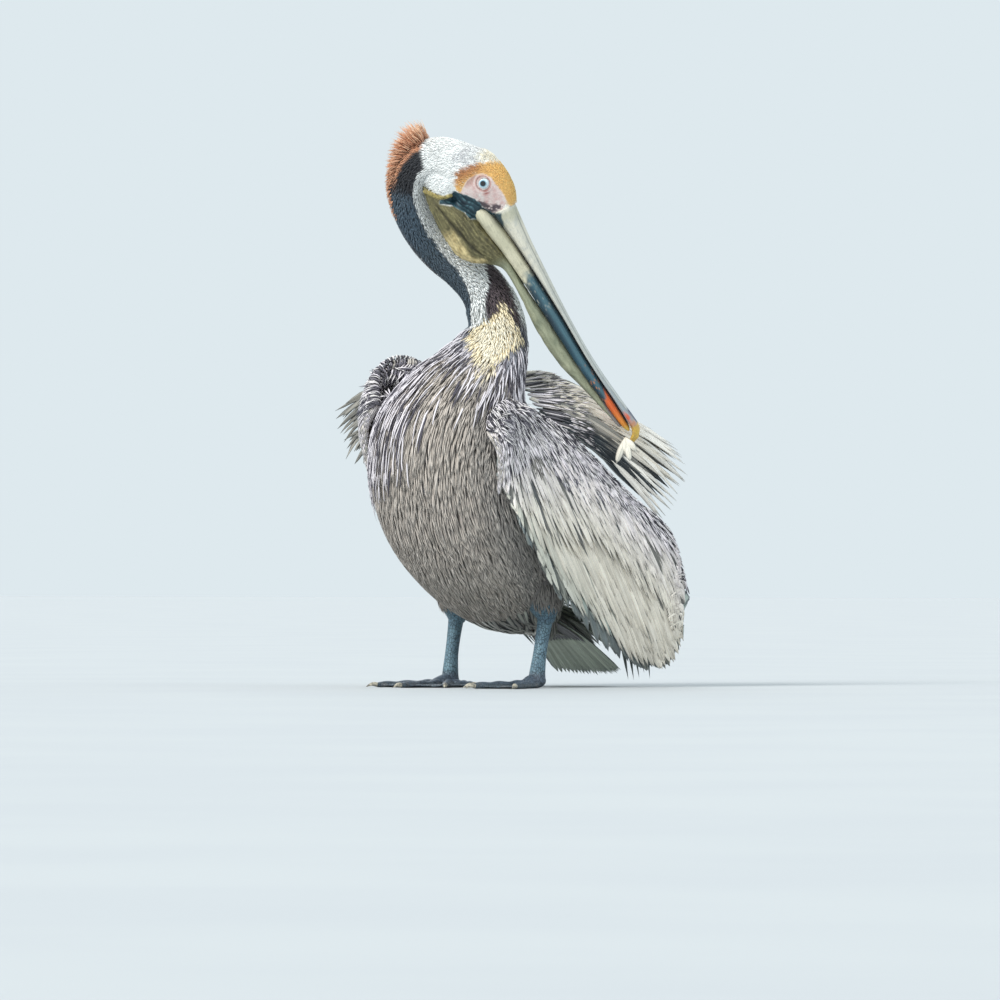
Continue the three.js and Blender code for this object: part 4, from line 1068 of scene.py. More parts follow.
def body_feathers(coat, k0, q0, L, W, H, lift, c1, c2, m=3, section="tri", jitter=8.0, profile=None, drop=0.0, curl=0.0, uvk=None):
    """Feathers on the body line: rooted at (k0, q0), length L, half width W, lift rows (root ... tip)."""
    n = len(k0)
    if n == 0:
        return
    P0 = body(k0, q0, np.broadcast_to(lift[0], n))
    N0 = body_normal(k0, q0)
    tg = spine(k0)[6]
    D = -tg + A(0, 0, -1) * drop
    D = unit(D - N0 * np.sum(D * N0, 1, keepdims=True))
    D = turn_about(D, N0, np.radians(jitter) * rng.normal(size=n) + curl)
    taus = np.linspace(0, 1, m + 1)
    pts, nor = [], []
    for j, tau in enumerate(taus):
        p = P0 + D * (L * tau)[:, None]
        k = k0.copy()
        for _ in range(3):
            c, x, y, a, bu, bd, t_ = spine(k)
            k = np.clip(k + np.clip(np.sum((p - c) * t_, 1) / rate(k), -0.6, 0.6), 0, LAST)
        c, x, y, a, bu, bd, t_ = spine(k)
        v = p - c
        sy = np.sum(v * y, 1)
        q = np.arctan2(sy / np.where(sy > 0, bu, bd), np.sum(v * x, 1) / a)
        lf = lift[0] + (lift[1] - lift[0]) * tau ** 0.8 if len(lift) == 2 else lift[min(j, len(lift) - 1)]
        past = np.maximum(0, -np.sum((p - spine(np.zeros(n))[0]) * spine(np.zeros(n))[6], 1))
        surf = body(k, q, np.broadcast_to(lf, n))
        out = past > 3
        surf[out] = p[out]
        pts.append(surf)
        nor.append(body_normal(np.maximum(k, 0.05), q))
    P = np.stack(pts, 1)
    N = np.stack(nor, 1)
    T_ = unit(np.gradient(P, axis=1))
    S = unit(np.cross(N, T_))
    N = unit(np.cross(T_, S))
    prof = np.array(profile if profile is not None else [0.55, 1.0, 0.85, 0.6, 0.4][:m])
    if len(prof) != m:
        prof = np.interp(np.linspace(0, 1, m), np.linspace(0, 1, len(prof)), prof)
    uv = np.stack([k0 / LAST, (q0 / (2 * np.pi)) % 1.0], 1)
    coat.add(P[:, :m], S[:, :m], N[:, :m], (W[:, None] if np.ndim(W) else W) * prof[None], H, c1, c2, uv, section, tip=P[:, m])


def scatter(k_lo, k_hi, gap_k, gap_q, q_lo=-180, q_hi=180, wobble=0.45):
    """Rooting places over the body line between two k, in staggered rows, gaps in millimetres."""
    ks, qs = [], []
    k = k_hi
    row = 0
    while k > k_lo:
        c, x, y, a, bu, bd, t_ = spine(A(k))
        rad = (float(a[0]) + (float(bu[0]) + float(bd[0])) / 2) / 2
        n = max(6, int(2 * np.pi * rad / gap_q))
        g = (np.arange(n) + (0.5 if row % 2 else 0)) / n * 360 - 180
        g = g + rng.uniform(-wobble, wobble, n) * 360 / n
        kk = k + rng.uniform(-wobble, wobble, n) * gap_k / float(rate(k))
        ok = (wrap(g - (q_lo + q_hi) / 2) >= -(q_hi - q_lo) / 2) & (wrap(g - (q_lo + q_hi) / 2) <= (q_hi - q_lo) / 2)
        ks.append(kk[ok])
        qs.append(g[ok])
        k -= gap_k / float(rate(k))
        row += 1
    k, q = np.concatenate(ks), np.radians(np.concatenate(qs))
    ok = (k > k_lo) & (k < k_hi)
    return k[ok], q[ok]


def surface_feathers(coat, surf, s0, t0, L, W, H, slope, off, face, c1, c2, uv, m=5, section="vane", profile=None,
                     curve=0.0, patch=(0.004, 0.014), thick=None, lie=None):
    """Feathers on a hanging sheet surf(s, t): rooted at (s0, t0), running down with ds/dt = slope.

    off (n, 2): distance from the sheet at root and tip; face +1 or -1 picks its side."""
    n = len(s0)
    if n == 0:
        return
    s, t = s0.copy(), t0.copy()
    pts, nor = [], []
    taus = np.linspace(0, 1, m + 1)
    eps = 0.01
    for j, tau in enumerate(taus):
        ps = (surf(s + eps, t) - surf(s - eps, t)) / (2 * eps)
        pt = (surf(s, t + eps) - surf(s, t - eps)) / (2 * eps)
        nn = unit(np.cross(ps, pt)) * face
        th = 0 if thick is None else thick(s, t)
        o = off[:, 0] + (off[:, 1] - off[:, 0]) * tau
        pts.append(surf(s, t) + nn * (o + th)[:, None])
        nor.append(nn)
        if j < m:
            sl = slope(s, t, ps, pt) if callable(slope) else slope + curve * tau
            v = ps * sl[:, None] + pt
            d = (L / m) / np.maximum(0.3, np.linalg.norm(v, axis=1))
            s, t = s + sl * d, t + d
    P, N = np.stack(pts, 1), np.stack(nor, 1)
    if lie is not None:
        P = P + lie
    T_ = unit(np.gradient(P, axis=1))
    S = unit(np.cross(N, T_))
    N = unit(np.cross(T_, S))
    prof = np.array(profile if profile is not None else [0.5, 0.9, 1.0, 0.95, 0.7])
    if prof.ndim == 1:
        prof = np.interp(np.linspace(0, 1, m), np.linspace(0, 1, len(prof)), prof)[None]
    coat.add(P[:, :m], S[:, :m], N[:, :m], W[:, None] * prof, H, c1, c2, uv, section, tip=P[:, m], patch=patch)


# ---------------------------------------------------------------- materials
class Nodes:
    def __init__(self, name):
        self.mat = bpy.data.materials.new(name)
        self.mat.use_nodes = True
        self.t = self.mat.node_tree
        self.t.nodes.clear()
        self.out = self.t.nodes.new("ShaderNodeOutputMaterial")
        self.bsdf = self.t.nodes.new("ShaderNodeBsdfPrincipled")
        self.t.links.new(self.bsdf.outputs[0], self.out.inputs[0])

    def new(self, kind, **props):
        n = self.t.nodes.new("ShaderNode" + kind)
        for k, v in props.items():
            setattr(n, k, v)
        return n

    def link(self, a, b):
        self.t.links.new(a, b)
        return b

    def attr(self, name):
        return self.new("Attribute", attribute_name=name, attribute_type="GEOMETRY")

    def math(self, op, a, b=None, c=None):
        n = self.new("Math", operation=op)
        for i, v in enumerate((a, b, c)):
            if v is None:
                continue
            if isinstance(v, (int, float)):
                n.inputs[i].default_value = v
            else:
                self.link(v, n.inputs[i])
        return n.outputs[0]

    def remap(self, x, a, b, c=0.0, d=1.0, kind="SMOOTHSTEP"):
        n = self.new("MapRange", interpolation_type=kind)
        self.link(x, n.inputs[0])
        for i, v in enumerate((a, b, c, d)):
            n.inputs[i + 1].default_value = v
        return n.outputs[0]

    def noise(self, scale, detail=2.0, vec=None, stretch=None, rough=0.5):
        n = self.new("TexNoise")
        n.inputs["Scale"].default_value = scale
        n.inputs["Detail"].default_value = detail
        n.inputs["Roughness"].default_value = rough
        v = vec if vec is not None else self.new("TexCoord").outputs["Object"]
        if stretch is not None:
            m = self.new("Mapping")
            m.inputs["Scale"].default_value = stretch
            self.link(v, m.inputs[0])
            v = m.outputs[0]
        self.link(v, n.inputs["Vector"])
        return n.outputs["Fac"]

    def blend(self, a, b, fac, mode="MIX"):
        n = self.new("Mix", data_type="RGBA", blend_type=mode)
        ins = [s for s in n.inputs if s.type == "RGBA"]
        f = n.inputs[0]
        if isinstance(fac, (int, float)):
            f.default_value = fac
        else:
            self.link(fac, f)
        for s, v in zip(ins, (a, b)):
            if isinstance(v, tuple):
                s.default_value = v
            else:
                self.link(v, s)
        return [s for s in n.outputs if s.type == "RGBA"][0]

    def scale_colour(self, col, x):
        n = self.new("VectorMath", operation="SCALE")
        self.link(col, n.inputs[0])
        self.link(x, n.inputs["Scale"])
        return n.outputs[0]

    def bump(self, height, strength, distance):
        n = self.new("Bump")
        n.inputs["Strength"].default_value = strength
        n.inputs["Distance"].default_value = distance
        self.link(height, n.inputs["Height"])
        self.link(n.outputs[0], self.bsdf.inputs["Normal"])
        return n

    def set(self, **kw):
        for k, v in kw.items():
            self.bsdf.inputs[k.replace("_", " ")].default_value = v


def feather_material(name, edge=(0.35, 0.8), vary=0.16, rough=0.66, shaft=0.0, barbs=0.25):
    m = Nodes(name)
    fv = m.new("SeparateXYZ")
    m.link(m.attr("fv").outputs["Vector"], fv.inputs[0])
    along, across, rand = fv.outputs
    side = m.math("ABSOLUTE", across)
    fine = m.noise(900, 3)
    wob = m.math("MULTIPLY_ADD", m.math("SUBTRACT", fine, 0.5), 0.5, side)
    e = m.remap(wob, *edge)
    col = m.blend(m.attr("c1").outputs["Color"], m.attr("c2").outputs["Color"], e)
    broad = m.noise(60, 2)
    f1 = m.remap(rand, 0, 1, 1 - vary, 1 + vary * 0.85, "LINEAR")
    f2 = m.remap(broad, 0.3, 0.7, 0.93, 1.06, "LINEAR")
    f3 = m.remap(fine, 0.3, 0.7, 0.93, 1.07, "LINEAR")
    f = m.math("MULTIPLY", m.math("MULTIPLY", f1, f2), f3)
    if shaft:
        line = m.remap(side, 0.04, 0.1, 1 + shaft, 1.0)
        f = m.math("MULTIPLY", f, line)
    m.link(m.scale_colour(col, f), m.bsdf.inputs["Base Color"])
    m.link(m.remap(fine, 0.3, 0.7, rough - 0.08, rough + 0.1, "LINEAR"), m.bsdf.inputs["Roughness"])
    m.set(Specular_IOR_Level=0.25, Sheen_Weight=0.12, Sheen_Roughness=0.6)
    barb = m.new("TexWave", wave_type="BANDS", bands_direction="X")
    v = m.new("CombineXYZ")
    m.link(m.math("MULTIPLY_ADD", side, -1.6, m.math("MULTIPLY", along, 14.0)), v.inputs[0])
    m.link(v.outputs[0], barb.inputs["Vector"])
    barb.inputs["Scale"].default_value = 1.0
    barb.inputs["Distortion"].default_value = 0.6
    h = m.math("MULTIPLY_ADD", barb.outputs["Fac"], 0.5, fine)
    m.bump(h, barbs, 0.0004)
    return m.mat


def skin_material():
    m = Nodes("bare skin")
    kind = m.new("SeparateXYZ")
    m.link(m.attr("kind").outputs["Vector"], kind.inputs[0])
    pouch, leg, face = kind.outputs
    place = m.attr("place").outputs["Vector"]
    fine = m.noise(700, 4)
    wrinkle = m.noise(0.16, 5, vec=place, stretch=(0.35, 2.6, 2.2), rough=0.6)
    cells = m.new("TexVoronoi", feature="DISTANCE_TO_EDGE")
    cells.inputs["Scale"].default_value = 330
    tc = m.new("TexCoord")
    mp = m.new("Mapping")
    mp.inputs["Scale"].default_value = (1.0, 1.0, 0.62)
    m.link(tc.outputs["Object"], mp.inputs[0])
    m.link(mp.outputs[0], cells.inputs["Vector"])
    plate_ = m.remap(cells.outputs["Distance"], 0.0, 0.13)
    col = m.attr("hue").outputs["Color"]
    f1 = m.remap(fine, 0.3, 0.7, 0.88, 1.1, "LINEAR")
    f2 = m.math("MULTIPLY_ADD", m.math("SUBTRACT", m.remap(wrinkle, 0.3, 0.7), 0.5), m.math("MULTIPLY", pouch, 0.55), f1)
    groove = m.math("MULTIPLY", m.math("SUBTRACT", plate_, 0.75), m.math("MULTIPLY", leg, 0.9))
    f3 = m.math("ADD", f2, groove)
    m.link(m.scale_colour(col, f3), m.bsdf.inputs["Base Color"])
    bare_ = m.math("MAXIMUM", m.math("MAXIMUM", pouch, leg), face)
    m.link(m.remap(bare_, 0, 1, 0.8, 0.46, "LINEAR"), m.bsdf.inputs["Roughness"])
    h = m.math("ADD", m.math("MULTIPLY", m.remap(wrinkle, 0.3, 0.7), m.math("MULTIPLY", pouch, 1.6)),
               m.math("ADD", m.math("MULTIPLY", plate_, m.math("MULTIPLY", leg, 1.0)), m.math("MULTIPLY", fine, 0.35)))
    m.bump(h, 0.7, 0.0007)
    m.set(Specular_IOR_Level=0.4, Subsurface_Weight=0.0)
    return m.mat


def bill_material():
    m = Nodes("bill")
    place = m.attr("place").outputs["Vector"]
    streak = m.noise(0.5, 4, vec=place, stretch=(0.10, 1.6, 1.6), rough=0.6)
    fine = m.noise(900, 3)
    speck = m.noise(420, 2)
    col = m.attr("hue").outputs["Color"]
    f = m.math("MULTIPLY", m.remap(streak, 0.3, 0.7, 0.84, 1.1, "LINEAR"), m.remap(fine, 0.3, 0.7, 0.95, 1.05, "LINEAR"))
    f = m.math("MULTIPLY", f, m.remap(speck, 0.60, 0.70, 1.0, 0.86))
    m.link(m.scale_colour(col, f), m.bsdf.inputs["Base Color"])
    m.link(m.remap(streak, 0.3, 0.7, 0.42, 0.56, "LINEAR"), m.bsdf.inputs["Roughness"])
    m.bump(m.math("ADD", streak, m.math("MULTIPLY", fine, 0.3)), 0.4, 0.0006)
    m.set(Specular_IOR_Level=0.45)
    return m.mat


def claw_material():
    m = Nodes("claw")
    n = m.noise(260, 4)
    c = m.blend((*srgb(120, 116, 108), 1), (*srgb(196, 188, 168), 1), m.remap(n, 0.35, 0.65))
    m.link(c, m.bsdf.inputs["Base Color"])
    m.link(m.remap(n, 0.3, 0.7, 0.35, 0.5, "LINEAR"), m.bsdf.inputs["Roughness"])
    m.bump(n, 0.3, 0.0005)
    return m.mat


def eye_material():
    m = Nodes("eye")
    v = m.new("SeparateXYZ")
    m.link(m.attr("iris").outputs["Vector"], v.inputs[0])
    rho, phi, _ = v.outputs
    cv = m.new("CombineXYZ")
    m.link(m.math("MULTIPLY", m.math("COSINE", phi), 9.0), cv.inputs[0])
    m.link(m.math("MULTIPLY", m.math("SINE", phi), 9.0), cv.inputs[1])
    m.link(m.math("MULTIPLY", rho, 0.35), cv.inputs[2])
    rays = m.noise(1.0, 3, vec=cv.outputs[0])
    ramp = m.new("ValToRGB")
    m.link(m.math("MULTIPLY", m.math("MULTIPLY_ADD", m.math("SUBTRACT", rays, 0.5), 0.35, rho), 0.1), ramp.inputs[0])
    els = ramp.color_ramp.elements
    stops = [(0.0, (8, 10, 14)), (0.29, (10, 14, 20)), (0.32, (52, 84, 104)), (0.38, (150, 190, 206)), (0.54, (220, 236, 240)),
             (0.66, (206, 224, 230)), (0.74, (130, 166, 182)), (0.79, (60, 74, 84)), (0.85, (60, 44, 44))]
    els[0].position, els[0].color = stops[0][0], (*srgb(*stops[0][1]), 1)
    els[1].position, els[1].color = stops[-1][0], (*srgb(*stops[-1][1]), 1)
    for p_, c_ in stops[1:-1]:
        e = els.new(p_)
        e.color = (*srgb(*c_), 1)
    f = m.remap(rays, 0.3, 0.7, 0.9, 1.08, "LINEAR")
    m.link(m.scale_colour(ramp.outputs[0], f), m.bsdf.inputs["Base Color"])
    m.set(Roughness=0.06, Specular_IOR_Level=0.6, Coat_Weight=0.6, Coat_Roughness=0.03)
    return m.mat


# ---------------------------------------------------------------- bill, eyes, claws
def hard_piece(name, parts, colours, material, replaces, extra=None):
    V, T, Q = joined(parts)
    me = mesh(name, V, T, Q)
    f, h, r = head_coords(V)
    if colours is not None:
        paint(me, "hue", colours(V, f, h, r))
        vector(me, "place", np.stack([f, h, r], 1))
    if extra:
        extra(me, V)
    me.materials.append(material)
    o = thing(me)
    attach(o, "root")
    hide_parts(*replaces)
    return o


def make_bill(mat):
    fs = np.concatenate([np.linspace(-3, 285, 130), np.linspace(287, 326, 36)])
    q = np.arange(88) * 2 * np.pi / 88
    P = []
    for f in fs:
        top, edge, _, half = BILL(A(min(f, 326.0)))[0]
        hook = max(0, f - 306) / 24
        low = edge - 5.5 * hook * hook
        mid, hh = (top + low) / 2, (top - low) / 2
        c, s = np.cos(q), np.sin(q)
        e = 2 / 2.4
        X = np.sign(c) * np.abs(c) ** e * half
        Y = np.sign(s) * np.abs(s) ** e * hh
        up = s > 0
        flat = np.interp(f, [0, 60, 120, 240, 290, 310], [0.1, 0.35, 0.6, 0.55, 0.2, 0])
        ridge = np.exp(-((X / half / 0.36) ** 2))
        Y = np.where(up, Y * (1 - flat * (1 - ridge) * 0.75), Y)
        gx = np.abs(np.abs(X / half) - 0.46)
        g = np.exp(-((gx / 0.07) ** 2)) * np.interp(f, [4, 20, 290, 306], [0.3, 1, 1, 0])
        Y = Y - np.where(up, g * 1.1, 0)
        lip = np.exp(-(((s + 0.12) / 0.16) ** 2)) * np.interp(f, [0, 30, 300], [0, 1, 0.6])
        X = X * (1 + 0.03 * lip)
        P.append(in_head(np.full(88, f), mid + Y, X))
    P = np.array(P)
    tip = in_head(329.5, 3.2, 0)
    upper = shell(P, P[0].mean(0), tip)

    def paint_upper(V, f, h, r):
        n1, n2, n3 = noise(V, 3), noise(V, 8), noise(V, 26)
        top, edge, _, half = np.moveaxis(BILL(np.clip(f, -2, 326)), -1, 0)
        v = np.clip((h - edge) / np.maximum(2, top - edge), 0, 1)
        w = np.abs(r) / np.maximum(2, half)
        base = mix(srgb(218, 214, 198), srgb(196, 198, 190), smooth(40, 170, f))
        base = mix(base, srgb(152, 162, 168), smooth(190, 280, f) * smooth(0.2, 0.75, w) * 0.9)
        base = mix(base, srgb(200, 206, 206), bump(w, 0.16, 0.2) * smooth(120, 240, f) * 0.6)
        base = mix(base, srgb(172, 176, 172), smooth(0.1, 0.7, n1 + 0.5 * n2) * 0.45)
        base = mix(base, srgb(140, 142, 104), smooth(30, 6, f + 5 * n2) * smooth(-1, 4, f) * 0.45)
        base = mix(base, srgb(40, 66, 76), smooth(-1.5, 1.0, fence(LORES, f, h) + 0.8 * n2))
        # painted shade along the groove on each side of the upper bill, where the shape above is pressed in
        groove = bump(w, 0.46, 0.055) * smooth(4, 20, f) * smooth(308, 292, f) * (h > edge + 2)
        base = mix(base, srgb(88, 94, 96), groove * 0.85)
        base = mix(base, srgb(62, 68, 72), smooth(0.26, 0.06, v) * 0.85 * smooth(0.5, 0.8, w))
        red = smooth(2.4, 0.4, np.hypot((f - 295 - 1.5 * n2) / 8.5, (v - 0.52 - 0.1 * n1) / 0.34) * 2)
        base = mix(base, srgb(222, 98, 62), red * 0.95)
        blue = smooth(284, 292, f + 2 * n2) * smooth(313, 308, f) * smooth(0.55, 0.2, w)
        base = mix(base, srgb(44, 56, 92), blue * 0.92)
        nail = smooth(307, 311, f + 1.5 * n1)
        base = mix(base, mix(srgb(228, 188, 78), srgb(206, 168, 92), 0.5 + 0.5 * n1), nail)
        base = mix(base, srgb(214, 130, 70), bump(f, 306, 4) * smooth(0.3, 0.7, w) * 0.7)
        return base
    up = hard_piece("bill_top", [upper], paint_upper, mat, ["bill_upper"])

    P = []
    for f in np.concatenate([A(-17.5, -17, -16, -14.5, -12.5, -10), np.linspace(-6, 300, 130), A(303, 306, 309, 311, 312.5, 313.2)]):
        _, edge, low, half = BILL(A(max(f, -20.0)))[0]
        top = edge - 0.8
        c_ = (top + low) / 2
        half = half - 1.5
        k = math.sqrt(max(0.02, 1 - min(1, max(0, (-6 - f) / 11.6)) ** 2)) * math.sqrt(max(0.03, 1 - max(0, (f - 299) / 14.6) ** 2))
        c, s = np.cos(q), np.sin(q)
        e = 2 / 2.6
        X = np.sign(c) * np.abs(c) ** e * half * (0.6 + 0.4 * k if f < 0 else k)
        Y = np.where(s > 0, np.abs(s) ** e * (top - c_) * 0.98, -np.abs(s) ** e * (c_ - low)) * k
        yy = (c_ + Y - low) / (top - low)
        g = np.exp(-(((yy - 0.72) / 0.06) ** 2)) * np.interp(f, [10, 50, 280, 300], [0, 1, 1, 0])
        X = X * (1 - 0.05 * g)
        off = np.interp(f, [-18, 0], [-3.5, 0])
        P.append(in_head(np.full(88, f), c_ + Y + off * 0.3, X))
    P = np.array(P)
    lower = shell(P, P[0].mean(0), P[-1].mean(0))

    def paint_lower(V, f, h, r):
        n1, n2, n3 = noise(V, 3), noise(V, 8), noise(V, 26)
        _, edge, low, half = np.moveaxis(BILL(np.clip(f, -18, 326)), -1, 0)
        v = np.clip((h - low) / np.maximum(2, edge - low), 0, 1)
        cream = mix(srgb(222, 216, 190), srgb(196, 192, 166), 0.5 + 0.5 * n3)
        cream = mix(cream, srgb(160, 158, 138), smooth(0.3, 0.9, n1 + 0.4 * n2) * 0.35)
        dark = mix(srgb(46, 76, 90), srgb(32, 50, 62), 0.5 + 0.5 * n3)
        dark = mix(dark, srgb(88, 128, 140), bump(v, 0.62, 0.2) * 0.6)
        t = smooth(76, 100, f + 9 * n2 + 4 * n1 + 10 * (v - 0.5))
        base = mix(cream, dark, t)
        sp = smooth(0.55, 0.8, noise(V, 2.2)) * smooth(88, 96, f) * smooth(150, 110, f)
        base = mix(base, srgb(196, 196, 184), sp * 0.6)
        dots = smooth(0.5, 0.75, noise(V + 31, 2.6)) * smooth(205, 232, f) * bump(v, 0.5, 0.35)
        base = mix(base, srgb(222, 140, 84), dots * 0.85)
        red = smooth(-4, 4, f - 258 + 26 * (v - 0.62) + 4 * n2) * smooth(326, 316, f)
        colour = mix(srgb(222, 104, 52), srgb(232, 150, 58), smooth(278, 306, f + 3 * n2))
        base = mix(base, colour, red * smooth(0.92, 0.78, v))
        base = mix(base, srgb(40, 46, 54), smooth(0.84, 0.96, v) * smooth(20, 60, f) * 0.8)
        base = mix(base, srgb(232, 196, 96), smooth(302, 309, f))
        return base
    lo = hard_piece("bill_bottom", [lower], paint_lower, mat, ["bill_lower"])
    return up, lo


def make_eyes(mat):
    for side, name in ((1, "eye_right"), (-1, "eye_left")):
        c = in_head(EYE_AT[0], EYE_AT[1], EYE_AT[2] * side)
        part = ellipsoid(c, (R * side, F, U), (EYE_R,) * 3, 30)

        def extra(me, V, c=c, side=side):
            d = V - c
            a = d @ (R * side)
            y, z = d @ F, d @ U
            rho = np.where(a > 0, np.hypot(y, z), 20)
            vector(me, "iris", np.stack([rho, np.arctan2(z, y), a * 0], 1))
        hard_piece(name.replace("eye_", "eyeball_"), [part], None, mat, [name], extra)


def make_claws(mat):
    parts = []
    for name, leg in LEGS.items():
        hx, hy = leg["heel"]
        for turn, length, claw in leg["toes"]:
            a = math.radians(turn) * leg["s"]
            d = A(math.sin(a), -math.cos(a), 0)
            b = A(hx, hy, 0) + d * (length * 0.965)
            pts = [b + A(0, 0, 3.4), b + d * claw * 0.3 + A(0, 0, 4.3), b + d * claw * 0.62 + A(0, 0, 3.2), b + d * claw * 0.88 + A(0, 0, 1.3)]
            parts.append(tube(pts, [2.9, 2.5, 1.6, 0.7], 14))
    V, T, Q = joined(parts)
    V[:, 2] = np.maximum(V[:, 2], 0.1)
    me = mesh("claws", V, T, Q)
    me.materials.append(mat)
    o = thing(me)
    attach(o, "root")
    return o


# ---------------------------------------------------------------- the coat
def tone(c, n, lo=0.9, hi=1.1):
    """The colour c repeated n times, each a little lighter or darker."""
    return np.asarray(c) * rng.uniform(lo, hi, n)[:, None]


def coat_trunk(mat):
    b = Coat("coat_belly")
    k, q = scatter(0.25, 7.6, 5.4, 2.45, -184, 6)
    p = body(k, q)
    c1, c2 = plumage(k, q, p + rng.normal(size=p.shape) * 3)
    n = len(k)
    size = rng.uniform(0.8, 1.2, n)
    streak = rng.uniform(size=n) ** 3
    c1 = mix(c1, srgb(222, 212, 202), streak * 0.8)
    c2 = mix(c2, c1 * 0.82, 0.72)
    body_feathers(b, k, q, 26 * size, 1.5 * size, 0.4, [-5.5, -1.6, 0.0, 0.7], c1, c2, 3, "tri", 8, [0.7, 1.0, 0.65])
    b.make(mat, [])
    b = Coat("coat_back")
    k, q = scatter(0.25, 8.2, 8.5, 5.2, 4, 178)
    p = body(k, q)
    c1, c2 = plumage(k, q, p)
    n = len(k)
    size = rng.uniform(0.85, 1.15, n)
    body_feathers(b, k, q, 34 * size, 3.3 * size, 0.8, [-5.0, -1.2, 0.8, 2.2], c1, c2, 4, "leaf", 5, [0.6, 1.0, 0.95, 0.6])
    b.make(mat, [])
    b = Coat("coat_breast")
    k, q = scatter(4.4, 8.9, 6.2, 4.6)
    p = body(k, q)
    g = np.degrees(q)
    keep = np.maximum(smooth(-66, -106, g) + smooth(150, 176, g), smooth(5.7, 7.2, k)) * smooth(4.4, 5.6, k + 0.7 * smooth(-110, -150, g))
    ok = (rng.uniform(size=len(k)) < keep * 0.8) & (yellow_patch(p) < -4)
    k, q, p = k[ok], q[ok], p[ok]
    c1, c2 = plumage(k, q, p)
    n = len(k)
    size = rng.uniform(0.8, 1.2, n)
    L = np.interp(k, [4.5, 6.5, 8, 8.9], [44, 48, 32, 18]) * size
    dark = rng.uniform(size=n) < 0.38
    c1 = np.where(dark[:, None], tone(srgb(84, 80, 90), n, 0.8, 1.3), mix(c1, srgb(252, 246, 252), 0.85))
    c2 = np.where(dark[:, None], c1 * 0.8, mix(c2, c1, 0.55))
    body_feathers(b, k, q, L, 1.35 * size, 0.7, [-4.0, 0.4, 2.4, 3.2, 3.0], c1, c2, 4, "tri", 6, [0.6, 1.0, 0.8, 0.45])
    b.make(mat, [])


def coat_flanks(mat):
    """Long loose feathers of the flanks and under the tail."""
    b = Coat("coat_flanks")
    for lo, hi in ((-100, 34), (146, 262)):
        k, q = scatter(0.12, 2.1, 11, 7.0, lo, hi)
        n = len(k)
        p = body(k, q)
        L = np.interp(k, [0, 2], [58, 40]) * rng.uniform(0.8, 1.15, n)
        c1 = mix(srgb(160, 160, 148), srgb(118, 114, 108), rng.uniform(size=n))
        under_ = smooth(-70, -95, np.degrees(q)) * smooth(-120, -95, np.degrees(q))
        c1 = mix(c1, srgb(222, 218, 210), under_ * rng.uniform(0.2, 1, n))
        body_feathers(b, k, q, L, rng.uniform(3.0, 4.2, n), 0.8, [-4.0, -0.5, 1.4, 2.6, 3.4, 4.0], c1, tone(srgb(66, 68, 66), n), 5, "leaf", 9, [0.5, 0.95, 1.0, 0.85, 0.5], drop=0.12)
    n = 16
    k, q = rng.uniform(0.5, 1.0, n), np.radians(rng.uniform(-86, -50, n))
    body_feathers(b, k, q, rng.uniform(20, 32, n), rng.uniform(2.4, 3.4, n), 0.7, [-2.0, 2.0, 5.0, 8.0], tone(srgb(244, 240, 232), n), tone(srgb(206, 202, 194), n), 4, "leaf", 16, [0.6, 1.0, 0.9, 0.5], drop=0.5)
    b.make(mat, [])


def coat_neck(mat):
    b = Coat("coat_neck")
    k, q = scatter(7.4, 10.6, 3.0, 2.5)
    p = body(k, q)
    n = len(k)
    c1, c2 = plumage(k, q, p, rng.normal(size=n) * 2.2)
    L = np.interp(k, [7.4, 8.6, 9.6, 10.6], [22, 16, 12, 9]) * rng.uniform(0.8, 1.2, n)
    W = np.interp(k, [7.4, 9.6, 10.6], [1.7, 1.3, 1.2])
    body_feathers(b, k, q, L, W, 0.5, [-4.6, -0.6, 0.8, 1.6], c1, c2, 3, "tri", 9, [0.6, 1.0, 0.6])
    k, q = scatter(10.5, 17.9, 2.6, 2.1)
    f, h, r = head_coords(body(k, q))
    ok = ~((in_pouch(f, h, r, 3.0) < 1.0) & (f > -70))
    k, q = k[ok], q[ok]
    p = body(k, q)
    n = len(k)
    c1, c2 = plumage(k, q, p)
    L = np.interp(k, [10.5, 15, 17.9], [8.6, 7.5, 6.0]) * rng.uniform(0.85, 1.15, n)
    body_feathers(b, k, q, L, np.interp(k, [10.5, 17.9], [1.2, 1.0]), 0.35, [-3.4, -0.7, 0.4], c1, c2, 2, "tri", 7, [0.8, 0.9])
    b.make(mat, [])


